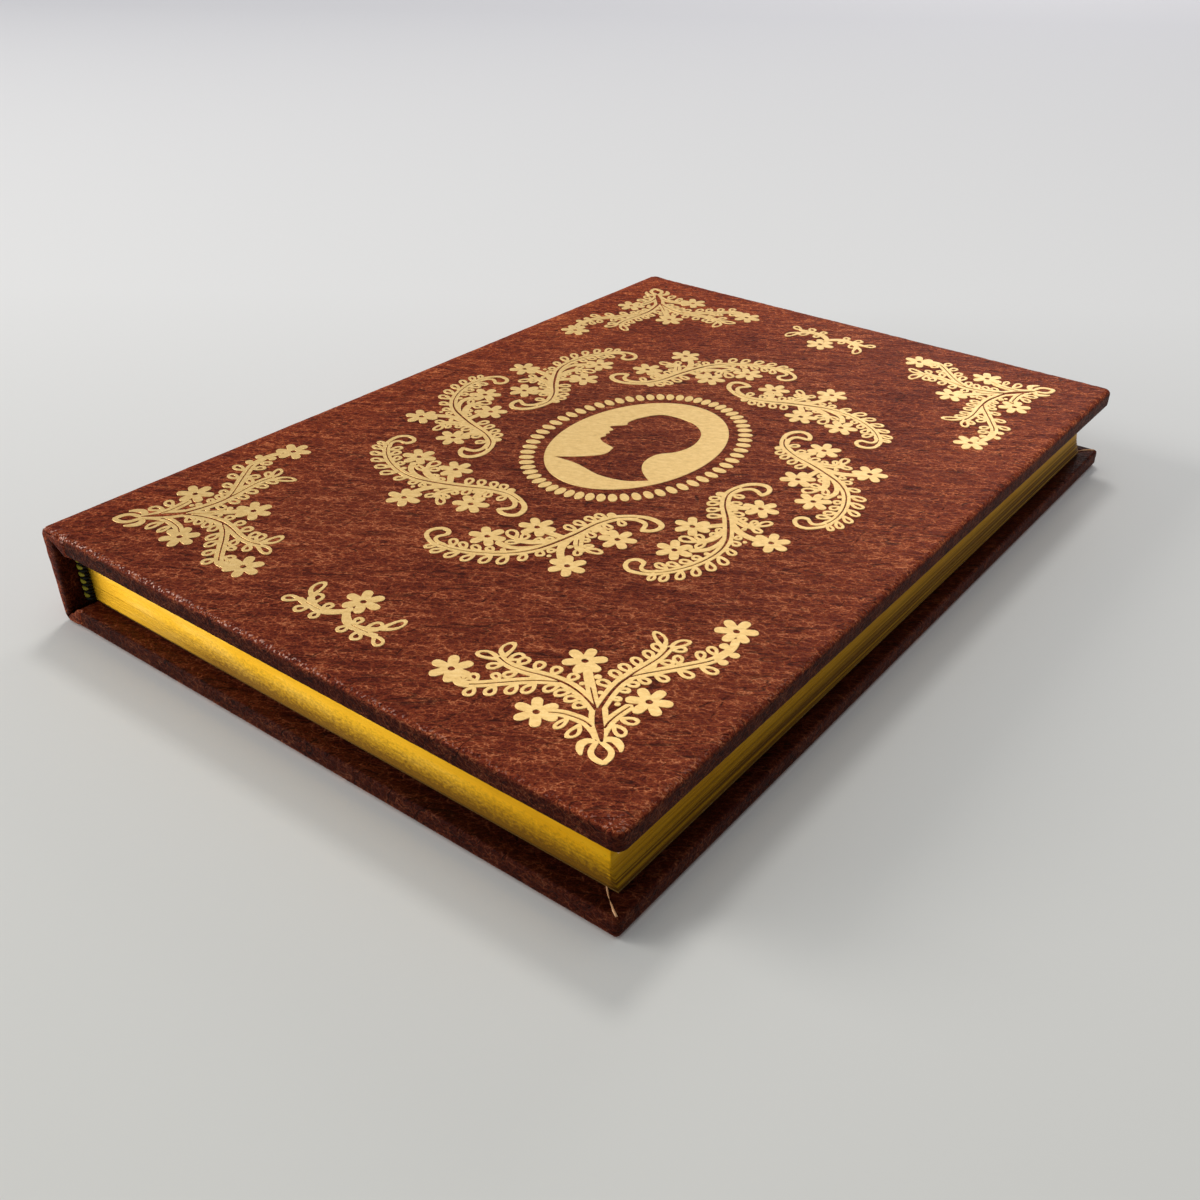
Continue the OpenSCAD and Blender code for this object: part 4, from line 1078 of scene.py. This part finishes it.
def build_floor():
    """A pale sweep, whiter away from the view and warmer towards it: painted light and shade across the
    floor.
    """
    r = FLOOR_REACH
    data = bpy.data.meshes.new("floor")
    data.from_pydata([(-r, -r, 0), (r, -r, 0), (r, r, 0), (-r, r, 0)], [], [(0, 1, 2, 3)])
    n = Nodes("pale_floor")
    x, y, _ = n.parts(n.where)
    # Painted light: brightest a little beyond the book, darker and warmer towards the view, darker and cooler
    # far off
    away = n.plus(n.times(y, 0.8), n.times(x, -0.6))
    n.colour = n.ramp(n.spread(away, -0.25, 1.0), (0.0, (0.69, 0.69, 0.655)), (0.35, (0.82, 0.82, 0.815)),
                    (1.0, (0.66, 0.66, 0.69)))
    mottle = n.noise(0.5, 3.0, 0.6)
    n.tint(n.times(mottle, 0.05), (0.6, 0.6, 0.58))
    data.materials.append(n.finish(0.9, 0.0, 0.1))
    floor = place_object("floor", data)


def area_lamp(name, place, target, size, power, colour=(1, 1, 1)):
    lamp = bpy.data.lights.new(name, "AREA")
    lamp.shape = "DISK"
    lamp.size = size
    lamp.energy = power
    lamp.color = colour
    obj = place_object(name, lamp)
    obj.location = place
    obj.rotation_euler = (Vector(target) - Vector(place)).to_track_quat("-Z", "Y").to_euler()


def build_light():
    scene = bpy.context.scene
    world = bpy.data.worlds.new("studio")
    world.use_nodes = True
    sky = world.node_tree.nodes["Background"].inputs
    sky[0].default_value = (0.95, 0.97, 1.0, 1)
    sky[1].default_value = 0.32
    scene.world = world
    warm = (1.0, 0.98, 0.95)
    area_lamp("key", (-0.75, 1.0, 2.0), (0, 0, 0), 0.45, 11.5, warm)
    area_lamp("side", (-1.5, -0.85, 0.9), (0, 0, 0), 0.8, 13.0, warm)
    area_lamp("low", (-1.25, -1.41, 0.23), (-0.03, -0.11, 0.012), 0.8, 11.0, warm)
    area_lamp("overhead", (0.1, 0.1, 2.6), (0.1, 0.1, 0), 2.0, 11.5)
    area_lamp("window", (-0.45, 1.6, 0.68), (0.03, 0.03, 0.02), 0.6, 3.5, (1.0, 0.97, 0.95))
    scene.view_settings.view_transform = "Standard"


def build_camera():
    """The photograph's view: turned round the book, raised above the table and tilted a little."""
    turn, rise, tilt = (radians(a) for a in (CAMERA_TURN, CAMERA_RISE, CAMERA_TILT))
    back = Vector((sin(turn) * cos(rise), -cos(turn) * cos(rise), sin(rise)))
    right = Vector((cos(turn), sin(turn), 0))
    up = back.cross(right)
    x_axis = right * cos(tilt) + up * sin(tilt)
    y_axis = up * cos(tilt) - right * sin(tilt)
    data = bpy.data.cameras.new("camera")
    data.lens = 37.74
    data.sensor_width = 36
    data.sensor_fit = "HORIZONTAL"
    data.shift_x = -0.0024
    data.shift_y = 0.0011
    data.clip_start = 0.01
    camera = place_object("camera", data)
    camera.matrix_world = (Matrix.Translation(CAMERA_PLACE)
                           @ Matrix((x_axis, y_axis, back)).transposed().to_4x4())
    bpy.context.scene.camera = camera


def dress_cad_nodes():
    """Materials for the plain layers that keep their CAD shape."""
    for names, material in ((("front_pastedown", "back_pastedown", "front_flyleaf", "back_flyleaf"), PAPER),
                            (("spine_lining",), LINING),
                            (("front_board", "back_board", "spine_card"), BOARD)):
        for name in names:
            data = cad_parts[name].data
            data.materials.clear()
            data.materials.append(material)


build_covers()
build_mitres()
build_joints()
build_spine()
build_pages()
build_bands()
build_corner_sprays()
build_wreath()
build_sprigs()
build_beads()
build_medallion()
dress_cad_nodes()
build_floor()
build_light()
build_camera()
